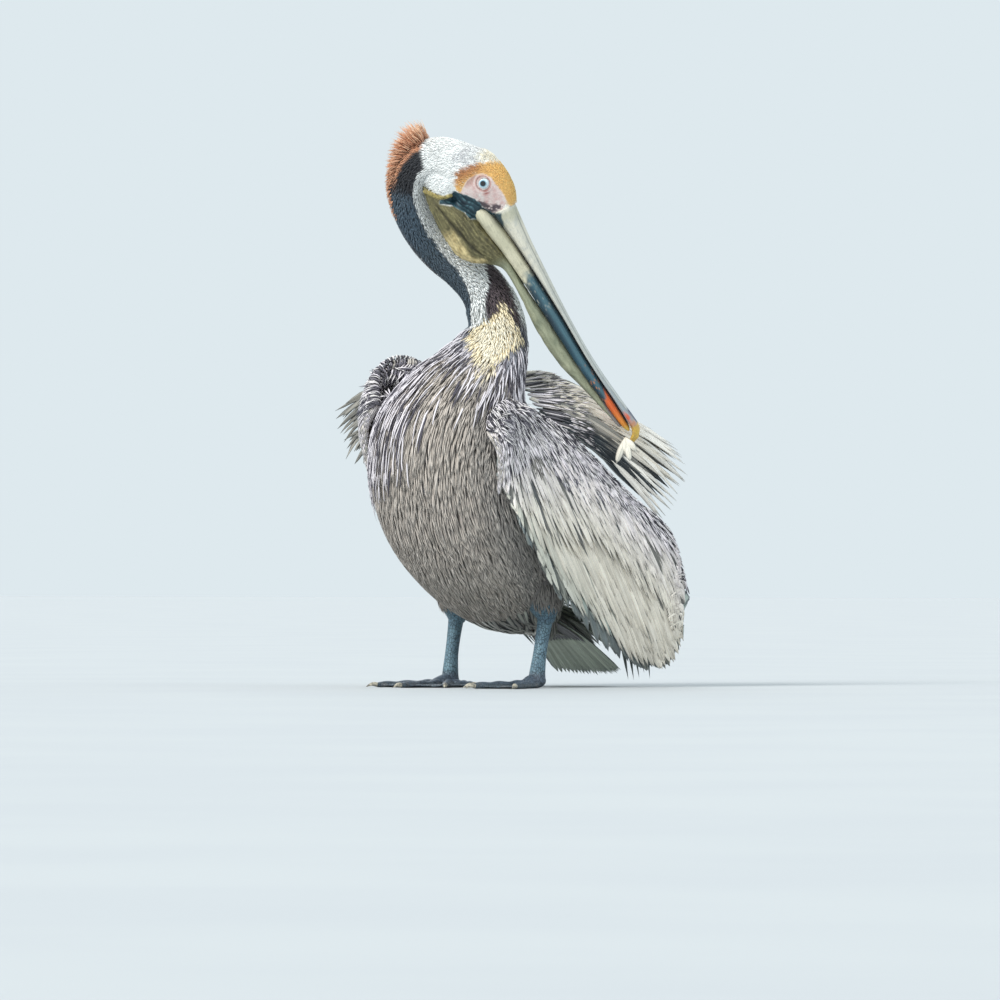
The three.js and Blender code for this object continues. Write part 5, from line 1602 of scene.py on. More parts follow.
def skin_feathers(b, V, T, mask, gap, length, width, height, rise, colours, flow, m=2, jitter=9):
    """Short feathers rooted on the skin mesh where mask > 0; colours(p) and flow(p, n) per root."""
    ok = mask[T].mean(1) > 0.5
    T = T[ok]
    a, b_, c = V[T[:, 0]], V[T[:, 1]], V[T[:, 2]]
    cr = np.cross(b_ - a, c - a)
    area = np.linalg.norm(cr, axis=1) / 2
    count = area / (gap * gap)
    num = np.floor(count + rng.uniform(size=len(count))).astype(int)
    idx = np.repeat(np.arange(len(T)), num)
    w = rng.dirichlet((1, 1, 1), len(idx))
    P0 = (V[T[idx]] * w[..., None]).sum(1)
    N0 = unit(cr[idx])
    n = len(P0)
    D = flow(P0, N0)
    D = unit(D - N0 * np.sum(D * N0, 1, keepdims=True))
    D = turn_about(D, N0, np.radians(jitter) * rng.normal(size=n))
    L = length(P0) * rng.uniform(0.8, 1.2, n)
    taus = np.linspace(0, 1, m + 1)
    P = np.stack([P0 + D * (L * t)[:, None] + N0 * (rise(P0)[:, None] * (t ** 0.8) - 0.5) for t in taus], 1)
    T_ = unit(np.gradient(P, axis=1))
    S = unit(np.cross(N0[:, None] + 0 * T_, T_))
    N = unit(np.cross(T_, S))
    c1, c2 = colours(P0)
    uv = rng.uniform(0.05, 0.95, (n, 2)) * 0 + np.stack([0.5 + np.arctan2(P0[:, 1], P0[:, 0]) / 7.0, np.clip(P0[:, 2] / 720, 0, 1)], 1)
    prof = A(0.8, 0.9, 0.7)[:m]
    W = width(P0)
    b.add(P[:, :m], S[:, :m], N[:, :m], W[:, None] * prof[None], height, c1, c2, uv, "tri", tip=P[:, m])
    return n


def coat_head(mat, skin, places):
    V, T, N = arrays(skin.data)
    k, q = places
    f, h, r = head_coords(V)
    fur = (k > 16.6) & (f > -150) & (f < 6)
    is_pouch = (in_pouch(f, h, r, 2.6) < 1.06) & (f > -76)
    bare_ = bare(f, h, r) > 0.3
    eye = (np.hypot(f - EYE_AT[0], h - EYE_AT[1]) < 11.2) & (np.abs(r) > 12)
    mask = (fur & ~is_pouch & ~bare_ & ~eye).astype(float)
    tree = KDTree(len(V))
    for i, v in enumerate(V):
        tree.insert(v, i)
    tree.balance()

    def near(P):
        return np.array([tree.find(p)[1] for p in P])

    def colours(P):
        i = near(P)
        return plumage(k[i], q[i], P)

    def flow(P, N0):
        i = near(P)
        t = -spine(k[i])[6]
        a, b_, c = head_coords(P)
        return unit(t + A(0, 0, -0.25))

    b = Coat("coat_head")
    def length(P):
        a, b_, c = head_coords(P)
        return np.interp(a, [-110, -70, -20, 0], [6.2, 5.2, 3.6, 2.6]) + 4.5 * smooth(6, 22, b_) * smooth(-50, -72, a)
    def width(P):
        a = head_coords(P)[0]
        return np.interp(a, [-110, -20], [0.95, 0.7])
    def rise(P):
        a = head_coords(P)[0]
        a, b_, c = head_coords(P)
        return np.interp(a, [-110, -60, 0], [2.0, 1.3, 0.8]) + 3.6 * smooth(6, 22, b_) * smooth(-50, -72, a)
    n = skin_feathers(b, V, T, mask, 1.75, length, width, 0.3, rise, colours, flow, 2, 10)
    b.make(mat, [])

    arms = (places_off[2] > 5.5) & (V[:, 2] > 230) & (in_pouch(f, h, r, 2.6) > 1.3) & (k < 12)
    b = Coat("coat_shoulders")

    def arm_colours(P):
        n_ = len(P)
        dark = rng.uniform(size=n_) < 0.42
        return np.where(dark[:, None], tone(srgb(116, 112, 122), n_), mix(LAVEN, srgb(240, 236, 232), rng.uniform(size=n_))), mix(srgb(110, 106, 118), srgb(84, 82, 92), rng.uniform(size=n_))
    skin_feathers(b, V, T, arms.astype(float), 3.2, lambda P: np.full(len(P), 17.0), lambda P: np.full(len(P), 1.7),
                  0.6, lambda P: np.full(len(P), 3.0), arm_colours, lambda P, N0: A(0, 0.5, -0.85) + A(-0.25, 0, 0) * np.sign(P[:, :1]) * -1, 2, 10)
    b.make(plume, [])

    # thighs and flanks, off the body line
    hips = np.zeros(len(V))
    for leg in LEGS.values():
        hx, hy = leg["heel"]
        s = leg["s"]
        d = np.hypot(V[:, 0] - (hx - 8 * s), (V[:, 1] - (hy + leg["lean"] - 8)) * 0.85)
        hips = np.maximum(hips, (d < 50) & (V[:, 2] > 97) & (V[:, 2] < 185))
    kk, qq, off = places_off
    hips = hips * (off > 4)
    b = Coat("coat_thighs")

    def leg_colours(P):
        i = near(P)
        c1, c2 = plumage(np.clip(k[i], 1.4, 5), np.minimum(q[i], -0.6), P)
        return c1 * 0.92, c2 * 0.92
    skin_feathers(b, V, T, hips, 3.4, lambda P: np.interp(P[:, 2], [97, 130], [9, 20]), lambda P: np.interp(P[:, 2], [97, 130], [1.1, 1.6]),
                  0.5, lambda P: np.full(len(P), 2.4), leg_colours, lambda P, N0: A(0, 0.25, -1) + 0 * P, 2, 9)
    b.make(mat, [])


def coat_crest(mat):
    b = Coat("coat_crest")
    n = 1000
    k = 14.9 + 2.75 * rng.beta(2.0, 1.1, n)
    k = np.minimum(k, 17.62)
    q = np.radians(91 + np.clip(rng.normal(size=n), -2, 2) * 17)
    L = CREST_HEIGHT(k)[:, 0] * rng.uniform(0.5, 1.08, n) * (1 - 0.35 * np.abs(np.degrees(q) - 91) / 34) + 3.5
    P0 = body(k, q, -2.0 + 0 * k)
    N0 = body_normal(k, q)
    t = spine(k)[6]
    lean = np.interp(k, [15, 16.8, 17.3, 17.9], [-0.9, -0.45, -0.1, 0.1])
    D = unit(N0 + t * lean[:, None] + rng.normal(size=(n, 3)) * 0.1)
    m = 3
    taus = np.linspace(0, 1, m + 1)
    bend = -t * 0.22
    P = np.stack([P0 + D * (L * a)[:, None] + bend * (L * a * a)[:, None] for a in taus], 1)
    T_ = unit(np.gradient(P, axis=1))
    S = unit(np.cross(t[:, None] + 0 * T_, T_) + 1e-6)
    N = unit(np.cross(T_, S))
    base = mix(mix(CHESTNUT, srgb(196, 128, 94), rng.uniform(size=n)), srgb(232, 184, 150), rng.uniform(size=n) ** 2)
    pale = mix(base, srgb(240, 206, 172), smooth(17.3, 17.7, k) * rng.uniform(0.3, 1, n))
    tipc = mix(pale, srgb(236, 200, 164), 0.35 + 0 * k)
    dark = mix(base * 0.82, BLACK, smooth(24, 30, np.abs(np.degrees(q) - 91)) * 0.8)
    c1 = np.stack([dark, base, pale, tipc], 1)
    uv = np.stack([k / LAST, q / (2 * np.pi)], 1)
    b.add(P[:, :m], S[:, :m], N[:, :m], np.full((n, 1), 1.15) * A(0.9, 1, 0.7)[None], 0.5, c1, c1 * 0.86, uv, "tri", tip=P[:, m])
    b.make(mat, ["nape_crest"])


CREAM = srgb(250, 242, 228)
STONE = srgb(212, 204, 190)
# dark slate used as painted shade: on feather edges for the gaps between feathers, and in the gap between back and wing
DEEP_SHADE = srgb(40, 48, 54)
LAVEN = srgb(250, 242, 248)


def wing_length(w, s):
    return np.linalg.norm(w["tip"](s) - w["root"](s), axis=-1)


RIM = 7.0


def coat_wing(side, mats):
    fine, big = mats
    w = WING_LEFT if side == "left" else WING_RIGHT
    surf = lambda s, t: wing(w, s, t)
    uvof = lambda s, t: np.stack([0.02 + 0.96 * np.clip(s, 0, 1), 0.02 + 0.96 * np.clip(t, 0, 1)], 1)
    thick = lambda s, t: wing_thick(np.clip(s, 0, 1), np.clip(t, 0, 1)) * 0.5
    # +1 when the cross product of the sheet's directions faces out of the bird
    ps, pt = surf(A(0.5), A(0.5)) - surf(A(0.4), A(0.5)), surf(A(0.5), A(0.5)) - surf(A(0.5), A(0.4))
    outward = np.sign(np.cross(ps, pt)[0, 0] * w["side"])

    def over(flip):
        """The wing's face reached over its rounded upper rim: s, and millimetres from the crest of the rim."""
        def f(s, a):
            s, a = np.broadcast_arrays(np.asarray(s, float), np.asarray(a, float))
            s = np.clip(s, 0, 1)
            a = a * flip
            e = 0.004
            quarter = RIM * np.pi / 2
            t = np.maximum(0, np.abs(a) - quarter) / wing_length(w, s)
            du = (surf(s + e, t) - surf(s - e, t))
            dv = unit(surf(s, t + e) - surf(s, t - e))
            nn = unit(np.cross(du, dv)) * outward
            phi = np.clip(a / RIM, -np.pi / 2, np.pi / 2)
            slim = np.clip(thick(s, t) / thick(s, 0 * t), 0.12, 1)
            return (surf(s, t) + nn * (RIM * np.sin(phi) * slim)[..., None] - dv * (RIM * np.cos(phi))[..., None])
        return f
    out_, in_ = over(1), over(-1)

    def slant(s, v, steep=1.0):
        """Lean of the feathers across the picture of the wing's own side, in degrees."""
        th = np.interp(s, [0, 0.1, 0.25, 0.45, 0.7, 0.9, 1], [-4, 3, 15, 23, 22, 16, 10])
        return th + 26 * np.exp(-np.maximum(v, 0) / 34) * smooth(0.12, 0.35, s)

    def lean(scale):
        """Slope of the feathers in the sheet's own directions; scale is mm per unit of its second one."""
        def f(s, t, ps, pt):
            if side == "right":
                return np.interp(s, [0, 0.12, 0.3, 0.5, 0.8, 1.0], [0.05, 0.2, 0.34, 0.36, 0.2, 0.05]) / (wing_length(w, s) if scale else 1.0)
            v = t if scale else t * wing_length(w, s)
            k = np.tan(np.radians(slant(s, v)))
            num = -(pt @ E_ACROSS + k * (pt @ E_UP))
            den = ps @ E_ACROSS + k * (ps @ E_UP)
            den = np.where(np.abs(den) < 20, 20 * np.sign(den + 1e-9), den)
            lim = wing_length(w, s) if scale else 1.0
            return np.clip(num / den, -0.25 / lim, 0.9 / lim)
        return f

    def rows(v0, v1, gap_v, gap_s, s_lo=0.0, s_hi=1.0, wobble=0.4):
        """Staggered rows over the sheet: s and millimetres below its upper edge."""
        S_, V_ = [], []
        v, r_ = v1, 0
        while v >= v0:
            mids = np.linspace(s_lo, s_hi, 400)
            line = np.linalg.norm(np.diff(surf(mids, np.clip(v / wing_length(w, mids), 0, 1)), axis=0), axis=1)
            cum = np.concatenate([[0], np.cumsum(line)])
            n = max(3, int(cum[-1] / gap_s))
            at = (np.arange(n) + (0.5 if r_ % 2 else 0) + rng.uniform(-wobble, wobble, n)) / n * cum[-1]
            S_.append(np.interp(np.clip(at, 0, cum[-1]), cum, mids))
            V_.append(v + rng.uniform(-wobble, wobble, n) * gap_v)
            v -= gap_v
            r_ += 1
        s, v = np.concatenate(S_), np.concatenate(V_)
        ok = v < 0.93 * wing_length(w, s)
        return s[ok], v[ok]

    small = lambda s: np.interp(s, [0, 0.2, 0.45, 0.7, 1], [48, 60, 42, 26, 16])

    def streaks(s, v, period, limit):
        """Dark streaks that run on along the lie of the feathers from one row to the next."""
        e = 0.01
        l_ = wing_length(w, s)
        t = np.clip(v / l_, 0, 1)
        ps = (surf(s + e, t) - surf(s - e, t)) / (2 * e)
        pt = (surf(s, t + e) - surf(s, t - e)) / (2 * e) / l_[:, None]
        c = (s - lean(True)(s, v, ps, pt) * v) * np.linalg.norm(ps, axis=1)
        c = c + 1.6 * noise(surf(s, t), 14) + rng.uniform(-0.5, 0.5, len(s))
        return np.sin(2 * np.pi * c / period) > limit

    b = Coat("coat_wing_%s_flight" % side)
    # the long flight feathers, dark, from mid wing to the free edge
    for layer, (n_f, shift_) in enumerate(((26, 0.0), (25, 0.02))):
        s = np.clip(np.linspace(0.03, 0.985, n_f) + shift_, 0, 1)
        t0 = np.full(len(s), 0.36 if layer == 0 else 0.28)
        L = wing_length(w, s) * (1.0 - t0) * (1.02 - 0.06 * layer) * rng.uniform(0.96, 1.02, len(s))
        n = len(s)
        # the second layer lies under the first; its darker grey and edges are painted shade between the feathers above
        # it
        grey = mix(srgb(170, 180, 172), srgb(92, 100, 104), layer * 0.7 + 0 * s)
        c1 = grey * rng.uniform(0.85, 1.1, (n, 1))
        c2 = mix(srgb(66, 78, 82), srgb(60, 70, 74), layer + 0 * s)
        surface_feathers(b, surf, s, t0, L, np.full(n, 8.4), 1.1, 0.16 * np.ones(n), np.stack([np.full(n, -1.5 - 1.2 * layer), np.full(n, 0.3 - 1.2 * layer)], 1),
                         outward, c1, c2, uvof(s, t0), 9, "vane", [0.6, 0.95, 1.0, 1.0, 1.0, 0.92, 0.62])
    # greater coverts
    s, v = rows(62, 200, 30, 5.2, 0.08, 0.985, 0.5)
    ok = v > small(s) + 26
    s, v = s[ok], v[ok]
    n = len(s)
    t = v / wing_length(w, s)
    L = rng.uniform(84, 128, n) * np.clip(wing_length(w, s) / 240, 0.5, 1.05)
    L = np.minimum(L, (wing_length(w, s) * (1 - t) + 6) * rng.uniform(0.78, 1.07, n))
    low = smooth(0.62, 0.3, s) * smooth(0.5, 0.75, t)
    c1 = mix(mix(CREAM, STONE, rng.uniform(size=n) ** 1.5), srgb(196, 200, 188), low * 0.6)
    # dark edges: painted shade of the gaps between the greater coverts
    c2 = mix(DEEP_SHADE, srgb(110, 106, 104), rng.uniform(0, 0.5, n) ** 2)
    shade = streaks(s, v, 13.0, 0.82) | (rng.uniform(size=n) < 0.07)
    c1[shade] = mix(srgb(104, 108, 104), srgb(150, 150, 140), rng.uniform(size=shade.sum()))
    surface_feathers(b, surf, s, t, L, rng.uniform(3.9, 5.8, n), 1.3, lean(False), np.stack([thick(s, t) * 0.3 - 0.5, np.where(shade, 0.3, rng.uniform(1.0, 3.4, n))], 1),
                     outward, c1, c2, uvof(s, t), 7, "vane", [0.5, 0.85, 1.0, 1.0, 0.85, 0.6, 0.3])
    # median coverts, long and narrow
    s, v = rows(6, 150, 11.0, 4.6, 0.02, 0.985, 0.5)
    ok = (v > small(s) - 26) & (v < small(s) + 52)
    s, v = s[ok], v[ok]
    n = len(s)
    deep = np.clip((v - small(s) + 22) / 70, 0, 1)
    L = np.interp(deep, [0, 1], [36, 84]) * rng.uniform(0.75, 1.2, n) * np.clip(wing_length(w, s) / 230, 0.6, 1.05)
    L = np.minimum(L, wing_length(w, s) - v + 7)
    c1 = mix(mix(LAVEN, CREAM, deep), STONE, rng.uniform(size=n) ** 2 * 0.5)
    # dark edges: painted shade of the gaps between the median coverts
    c2 = mix(DEEP_SHADE, srgb(104, 98, 102), rng.uniform(0, 0.6, n))
    shade = streaks(s, v, 8.6, 0.6 + 0.25 * deep) | (rng.uniform(size=n) < 0.05)
    c1[shade] = mix(srgb(92, 94, 96), srgb(146, 144, 138), rng.uniform(size=shade.sum()))
    surface_feathers(b, out_, s, v + RIM * 1.57, L, np.interp(deep, [0, 1], [2.2, 3.8]) * rng.uniform(0.9, 1.1, n), 0.9, lean(True),
                     np.stack([-1.6 + 0 * s, np.where(shade, 0.6, rng.uniform(1.2, 3.0, n))], 1), outward, c1, c2, uvof(s, v / 300), 6, "vane", [0.5, 0.9, 1.0, 0.85, 0.4])
    b.make(big, ["wing_%s_secondaries" % side, "wing_%s_primaries" % side])

    b = Coat("coat_wing_%s_coverts" % side)
    # lesser coverts: pale streaks over dark, over the rim and down
    s, v = rows(-16, 78, 5.6, 2.5, 0.0, 1.0, 0.3)
    ok = v < small(s)
    s, v = s[ok], v[ok]
    n = len(s)
    L = np.interp(v, [0, 70], [17, 30]) * rng.uniform(0.85, 1.2, n)
    L = np.minimum(L, wing_length(w, s) - v + 5)
    c1 = mix(LAVEN, srgb(244, 240, 236), rng.uniform(size=n))
    # dark edges: painted shade of the gaps between the lesser coverts
    c2 = mix(srgb(62, 58, 70), DEEP_SHADE, rng.uniform(0, 0.6, n))
    shade = streaks(s, v, 5.4, 0.12) | (rng.uniform(size=n) < 0.06)
    dusk = (srgb(60, 58, 68), srgb(92, 88, 96)) if side == "left" else (srgb(92, 90, 100), srgb(132, 128, 136))
    c1[shade] = mix(dusk[0], dusk[1], rng.uniform(size=shade.sum()))
    c2[~shade] = mix(c2[~shade], c1[~shade], 0.35 + 0 * s[~shade])
    surface_feathers(b, out_, s, v + RIM * 1.57, L, np.interp(v, [0, 66], [1.25, 1.7]) * rng.uniform(0.9, 1.1, n), 0.7, lean(True),
                     np.stack([-1.5 + 0 * s, np.where(shade, 1.5, 2.6)], 1), outward, c1, c2, uvof(s, v / 300), 4, "leaf", [0.6, 1.0, 0.9, 0.45])
    b.make(fine, ["wing_%s_coverts" % side])

    # the lining
    b = Coat("coat_wing_%s_lining" % side)
    s, v = rows(-14, 44, 7.5, 3.6, 0.0, 1.0)
    n = len(s)
    shade = rng.uniform(size=n) < 0.4
    c1 = mix(LAVEN * 0.92, STONE, rng.uniform(size=n))
    c1[shade] = tone(srgb(92, 90, 98) if side == "left" else srgb(136, 132, 140), shade.sum())
    surface_feathers(b, in_, s, v + RIM * 1.57, np.minimum(rng.uniform(20, 30, n), wing_length(w, s) - v + 4), rng.uniform(1.6, 2.2, n), 0.6, 0.1 / 200 * np.ones(n),
                     np.stack([-1.4 + 0 * s, 1.8 + 0 * s], 1), -outward, c1, c1 * 0.72, uvof(s, v / 300), 4, "tri", [0.6, 1.0, 0.9, 0.5])
    s, v = rows(26, 150, 10, 7.0, 0.0, 1.0)
    n = len(s)
    L = np.minimum(rng.uniform(24, 34, n), wing_length(w, s) - v + 4)
    c1 = mix(srgb(120, 132, 132), srgb(84, 92, 96), rng.uniform(size=n))
    c2 = mix(srgb(206, 212, 208), srgb(160, 168, 166), rng.uniform(size=n))
    surface_feathers(b, in_, s, v + RIM * 1.57, L, rng.uniform(4.2, 5.2, n), 0.7, 0.1 / 200 * np.ones(n), np.stack([-1.4 + 0 * s, 1.4 + 0 * s], 1),
                     -outward, c1, c2, uvof(s, v / 300), 4, "leaf", [0.6, 1.0, 1.0, 0.7])
    s0, v0 = rows(100, 200, 28, 11, 0.08, 0.98)
    n = len(s0)
    t0 = v0 / wing_length(w, s0)
    L = np.minimum(rng.uniform(70, 100, n), wing_length(w, s0) * (1 - t0) + 2)
    surface_feathers(b, surf, s0, t0, L, rng.uniform(6.5, 8.0, n), 0.7, 0.15 * np.ones(n), np.stack([np.full(n, 0.5), np.full(n, 1.4)], 1),
                     -outward, tone(srgb(112, 120, 120), n), tone(srgb(150, 156, 152), n), uvof(s0, t0), 6, "leaf", [0.6, 1.0, 1.0, 0.9, 0.7])
    # the leading edge, rounded
    for row in range(26):
        tt = row / 26.0
        r_ = 5.5 * (1 - 0.45 * tt)
        n = 9
        ang = np.radians(np.linspace(-85, 85, n) + (10 if row % 2 else 0))
        p0, p1 = surf(A(0.02), A(tt))[0], surf(A(0.02), A(min(1, tt + 0.3)))[0]
        d = unit(p1 - p0)
        fwd = unit(surf(A(0.0), A(tt))[0] - surf(A(0.12), A(tt))[0])
        sd = unit(np.cross(fwd, d)) * (1 if np.cross(fwd, d)[0] * w["side"] > 0 else -1)
        fwd = unit(fwd - d * (fwd @ d))
        L = rng.uniform(15, 22, n)
        nn = fwd * np.cos(ang)[:, None] + sd * np.sin(ang)[:, None]
        P = np.stack([p0 + nn * (r_ - 1.2 + 2.0 * x) + d * (L * x)[:, None] for x in np.linspace(0, 1, 4)], 1)
        T_ = unit(np.gradient(P, axis=1))
        S = unit(np.cross(nn[:, None] + 0 * T_, T_))
        N = unit(np.cross(T_, S))
        c1 = mix(LAVEN, STONE, rng.uniform(size=n))
        # dark edges: painted shade of the gaps between the leading edge's feathers
        b.add(P[:, :3], S[:, :3], N[:, :3], np.full((n, 1), 2.3) * A(0.7, 1, 0.7)[None], 0.6, c1, tone(DEEP_SHADE, n), uvof(A(0.01) + 0 * ang, tt + 0 * ang), "leaf", tip=P[:, 3])
    b.make(fine, [])


def coat_scapulars(side, mat):
    w = SCAPULARS_LEFT if side == "left" else SCAPULARS_RIGHT
    surf = lambda s, t: fan(w, s, t)
    ps, pt = surf(A(0.5), A(0.5)) - surf(A(0.4), A(0.5)), surf(A(0.5), A(0.5)) - surf(A(0.5), A(0.4))
    outward = np.sign(np.cross(ps, pt)[0] @ A(0.3, 0.5, 1))
    b = Coat("coat_scapulars_%s" % side)
    uvof = lambda s, t: np.stack([0.02 + 0.96 * np.clip(s, 0, 1), 0.02 + 0.96 * np.clip(t, 0, 1)], 1)
    for row, (t0, n_r, l0, l1) in enumerate(((0.42, 20, 0.5, 0.62), (0.30, 21, 0.45, 0.62), (0.17, 22, 0.42, 0.6), (0.06, 24, 0.36, 0.52), (-0.03, 26, 0.26, 0.38))):
        for f_ in (outward, -outward):
            if t0 < 0.1 and f_ != outward:
                continue
            s = (np.arange(n_r) + rng.uniform(0.2, 0.8, n_r)) / n_r
            t = t0 + (rng.uniform(-0.05, 0.05, n_r) if t0 > 0.1 else rng.uniform(-0.02, 0.1, n_r))
            n = n_r
            length = np.linalg.norm(w["tip"](s) - w["root"](s), axis=1)
            L = length * rng.uniform(l0, l1, n)
            L = np.minimum(L, length * (1.0 - t) * rng.uniform(0.9, 1.04, n))
            # painted shade: towards the wing the left fan's feathers turn dark slate with pale edges, standing in for
            # the shadowed gap between back and wing
            dark = smooth(0.58, 0.82, s + rng.uniform(-0.1, 0.1, n)) if side == "left" else smooth(0.95, 1.2, s)
            c1 = mix(CREAM, STONE, rng.uniform(0, 0.25, n))
            c1 = mix(c1, srgb(128, 130, 126), (rng.uniform(size=n) < 0.1) * 0.8)
            c1 = mix(c1, DEEP_SHADE, dark)
            if side == "right":
                c1 = mix(c1, srgb(150, 150, 150), rng.uniform(0.1, 0.8, n))
            # edges: painted shade of the gaps between feathers, pale on the shadowed end
            c2 = mix(mix(DEEP_SHADE, STONE, rng.uniform(0.1, 0.7, n)), srgb(216, 222, 222), dark)
            L = L * (1 - 0.4 * np.abs(2 * s - 1) ** 3) * (rng.uniform(0.8, 1.0, n) if side == "right" else 1.0)
            # the hidden faces are painted darker, as shade
            if f_ != outward:
                c1 = mix(srgb(206, 200, 190), DEEP_SHADE, smooth(0.4, 0.7, s) if side == "left" else 0.2 + 0 * s)
            root = (0.6 + 0.5 * row) if t0 > 0.1 else (-17.0 if side == "right" else -6.0)
            surface_feathers(b, surf, np.clip(s, 0, 1), t, L, rng.uniform(3.8, 5.4, n) * (0.8 if row == 4 else 1), 0.9, rng.normal(size=n) * 0.07,
                             np.stack([np.full(n, root) * (1 if f_ == outward else -0.2), 2.2 + 0.6 * row + rng.uniform(-0.8, 1.2, n)], 1), f_, c1, c2, uvof(s, t), 7, "vane",
                             [0.5, 0.85, 1.0, 0.9, 0.62, 0.28])
    # small streaked feathers where the long ones leave the back
    for row in range(5):
        n = 40
        s = (np.arange(n) + rng.uniform(0.1, 0.9, n)) / n
        shade = rng.uniform(size=n) < 0.42
        c1 = mix(LAVEN, STONE, rng.uniform(0, 0.6, n))
        c1[shade] = tone(srgb(96, 94, 100), shade.sum())
        surface_feathers(b, surf, s, -0.01 + 0.055 * row + rng.uniform(-0.02, 0.03, n), rng.uniform(26, 40, n), rng.uniform(1.7, 2.5, n), 0.7, rng.normal(size=n) * 0.08,
                         np.stack([np.full(n, -15.0 if side == "right" else -7.0), np.full(n, 5.2 + 0.2 * row)], 1), outward, c1, c1 * 0.62, uvof(s, 0.03 + 0.05 * row + 0 * s), 5, "leaf",
                         [0.5, 1.0, 0.9, 0.5])
    # loose tips past the edge
    n = 26
    s = rng.uniform(0.02, 0.98, n)
    t = rng.uniform(0.45, 0.62, n)
    length = np.linalg.norm(w["tip"](s) - w["root"](s), axis=1)
    surface_feathers(b, surf, s, t, length * (1.02 - t), rng.uniform(3.4, 4.8, n), 0.8, rng.normal(size=n) * 0.08,
                     np.stack([np.full(n, 1.0), np.full(n, 4.0)], 1), outward, tone(srgb(232, 228, 220), n), tone(STONE, n), uvof(s, t), 6, "vane",
                     [0.5, 1.0, 0.9, 0.6, 0.35])
    b.make(mat, ["scapulars_%s" % side])


def coat_tertials(mat):
    b = Coat("coat_tertials_left")
    surf = tertials
    ps, pt = surf(A(0.5), A(0.5)) - surf(A(0.4), A(0.5)), surf(A(0.5), A(0.5)) - surf(A(0.5), A(0.4))
    outward = np.sign(np.cross(ps, pt)[0, 1])
    for row, (t0, n_r) in enumerate(((0.4, 12), (0.22, 13), (0.04, 14))):
        for f_ in (outward, -outward):
            if row == 2 and f_ != outward:
                continue
            s = (np.arange(n_r) + rng.uniform(0.3, 0.7, n_r)) / n_r
            t = t0 + rng.uniform(-0.04, 0.04, n_r)
            L = np.minimum(rng.uniform(100, 130, n_r), 215 * (1 - t) * 0.98)
            surface_feathers(b, surf, s, t, L, rng.uniform(6.4, 8.4, n_r), 1.0, rng.normal(size=n_r) * 0.05,
                             np.stack([np.full(n_r, -0.4 + 0.7 * row if row < 2 else -11.0), np.full(n_r, 1.2 + 0.5 * row)], 1), f_, mix(srgb(176, 172, 164), srgb(116, 118, 116), rng.uniform(size=n_r)), tone(srgb(66, 70, 72), n_r),
                             np.stack([s, t * 0.9 + 0.05], 1), 7, "vane", [0.6, 0.95, 1.0, 0.95, 0.8, 0.5])
    b.make(mat, ["wing_left_tertials"])


def coat_ruffled(mat):
    w = RUFFLED
    surf = lambda s, t: fan(w, s, t)
    b = Coat("coat_ruffled_right")
    for f_ in (1, -1):
        for row, (t0, n_r, l0) in enumerate(((0.02, 11, 0.98), (0.0, 12, 0.7), (-0.02, 12, 0.45))):
            s = (np.arange(n_r) + rng.uniform(0.2, 0.8, n_r)) / n_r
            t = np.full(n_r, t0)
            length = np.linalg.norm(w["tip"](s) - w["root"](s), axis=1)
            L = length * l0 * rng.uniform(0.62, 1.0, n_r)
            c1 = mix(srgb(172, 168, 158), srgb(120, 118, 112), rng.uniform(size=n_r))
            surface_feathers(b, surf, s, t, L, rng.uniform(3.2, 6.0, n_r), 0.9, rng.normal(size=n_r) * 0.16,
                             np.stack([np.full(n_r, -0.5), 0.8 + row + rng.uniform(0, 2.5, n_r)], 1), f_, c1, tone(srgb(72, 74, 74), n_r), np.stack([s, 0.1 + 0.2 * row + 0 * s], 1), 6, "vane",
                             [0.6, 1.0, 0.95, 0.7, 0.4])
    b.make(mat, ["wing_right_ruffled"])


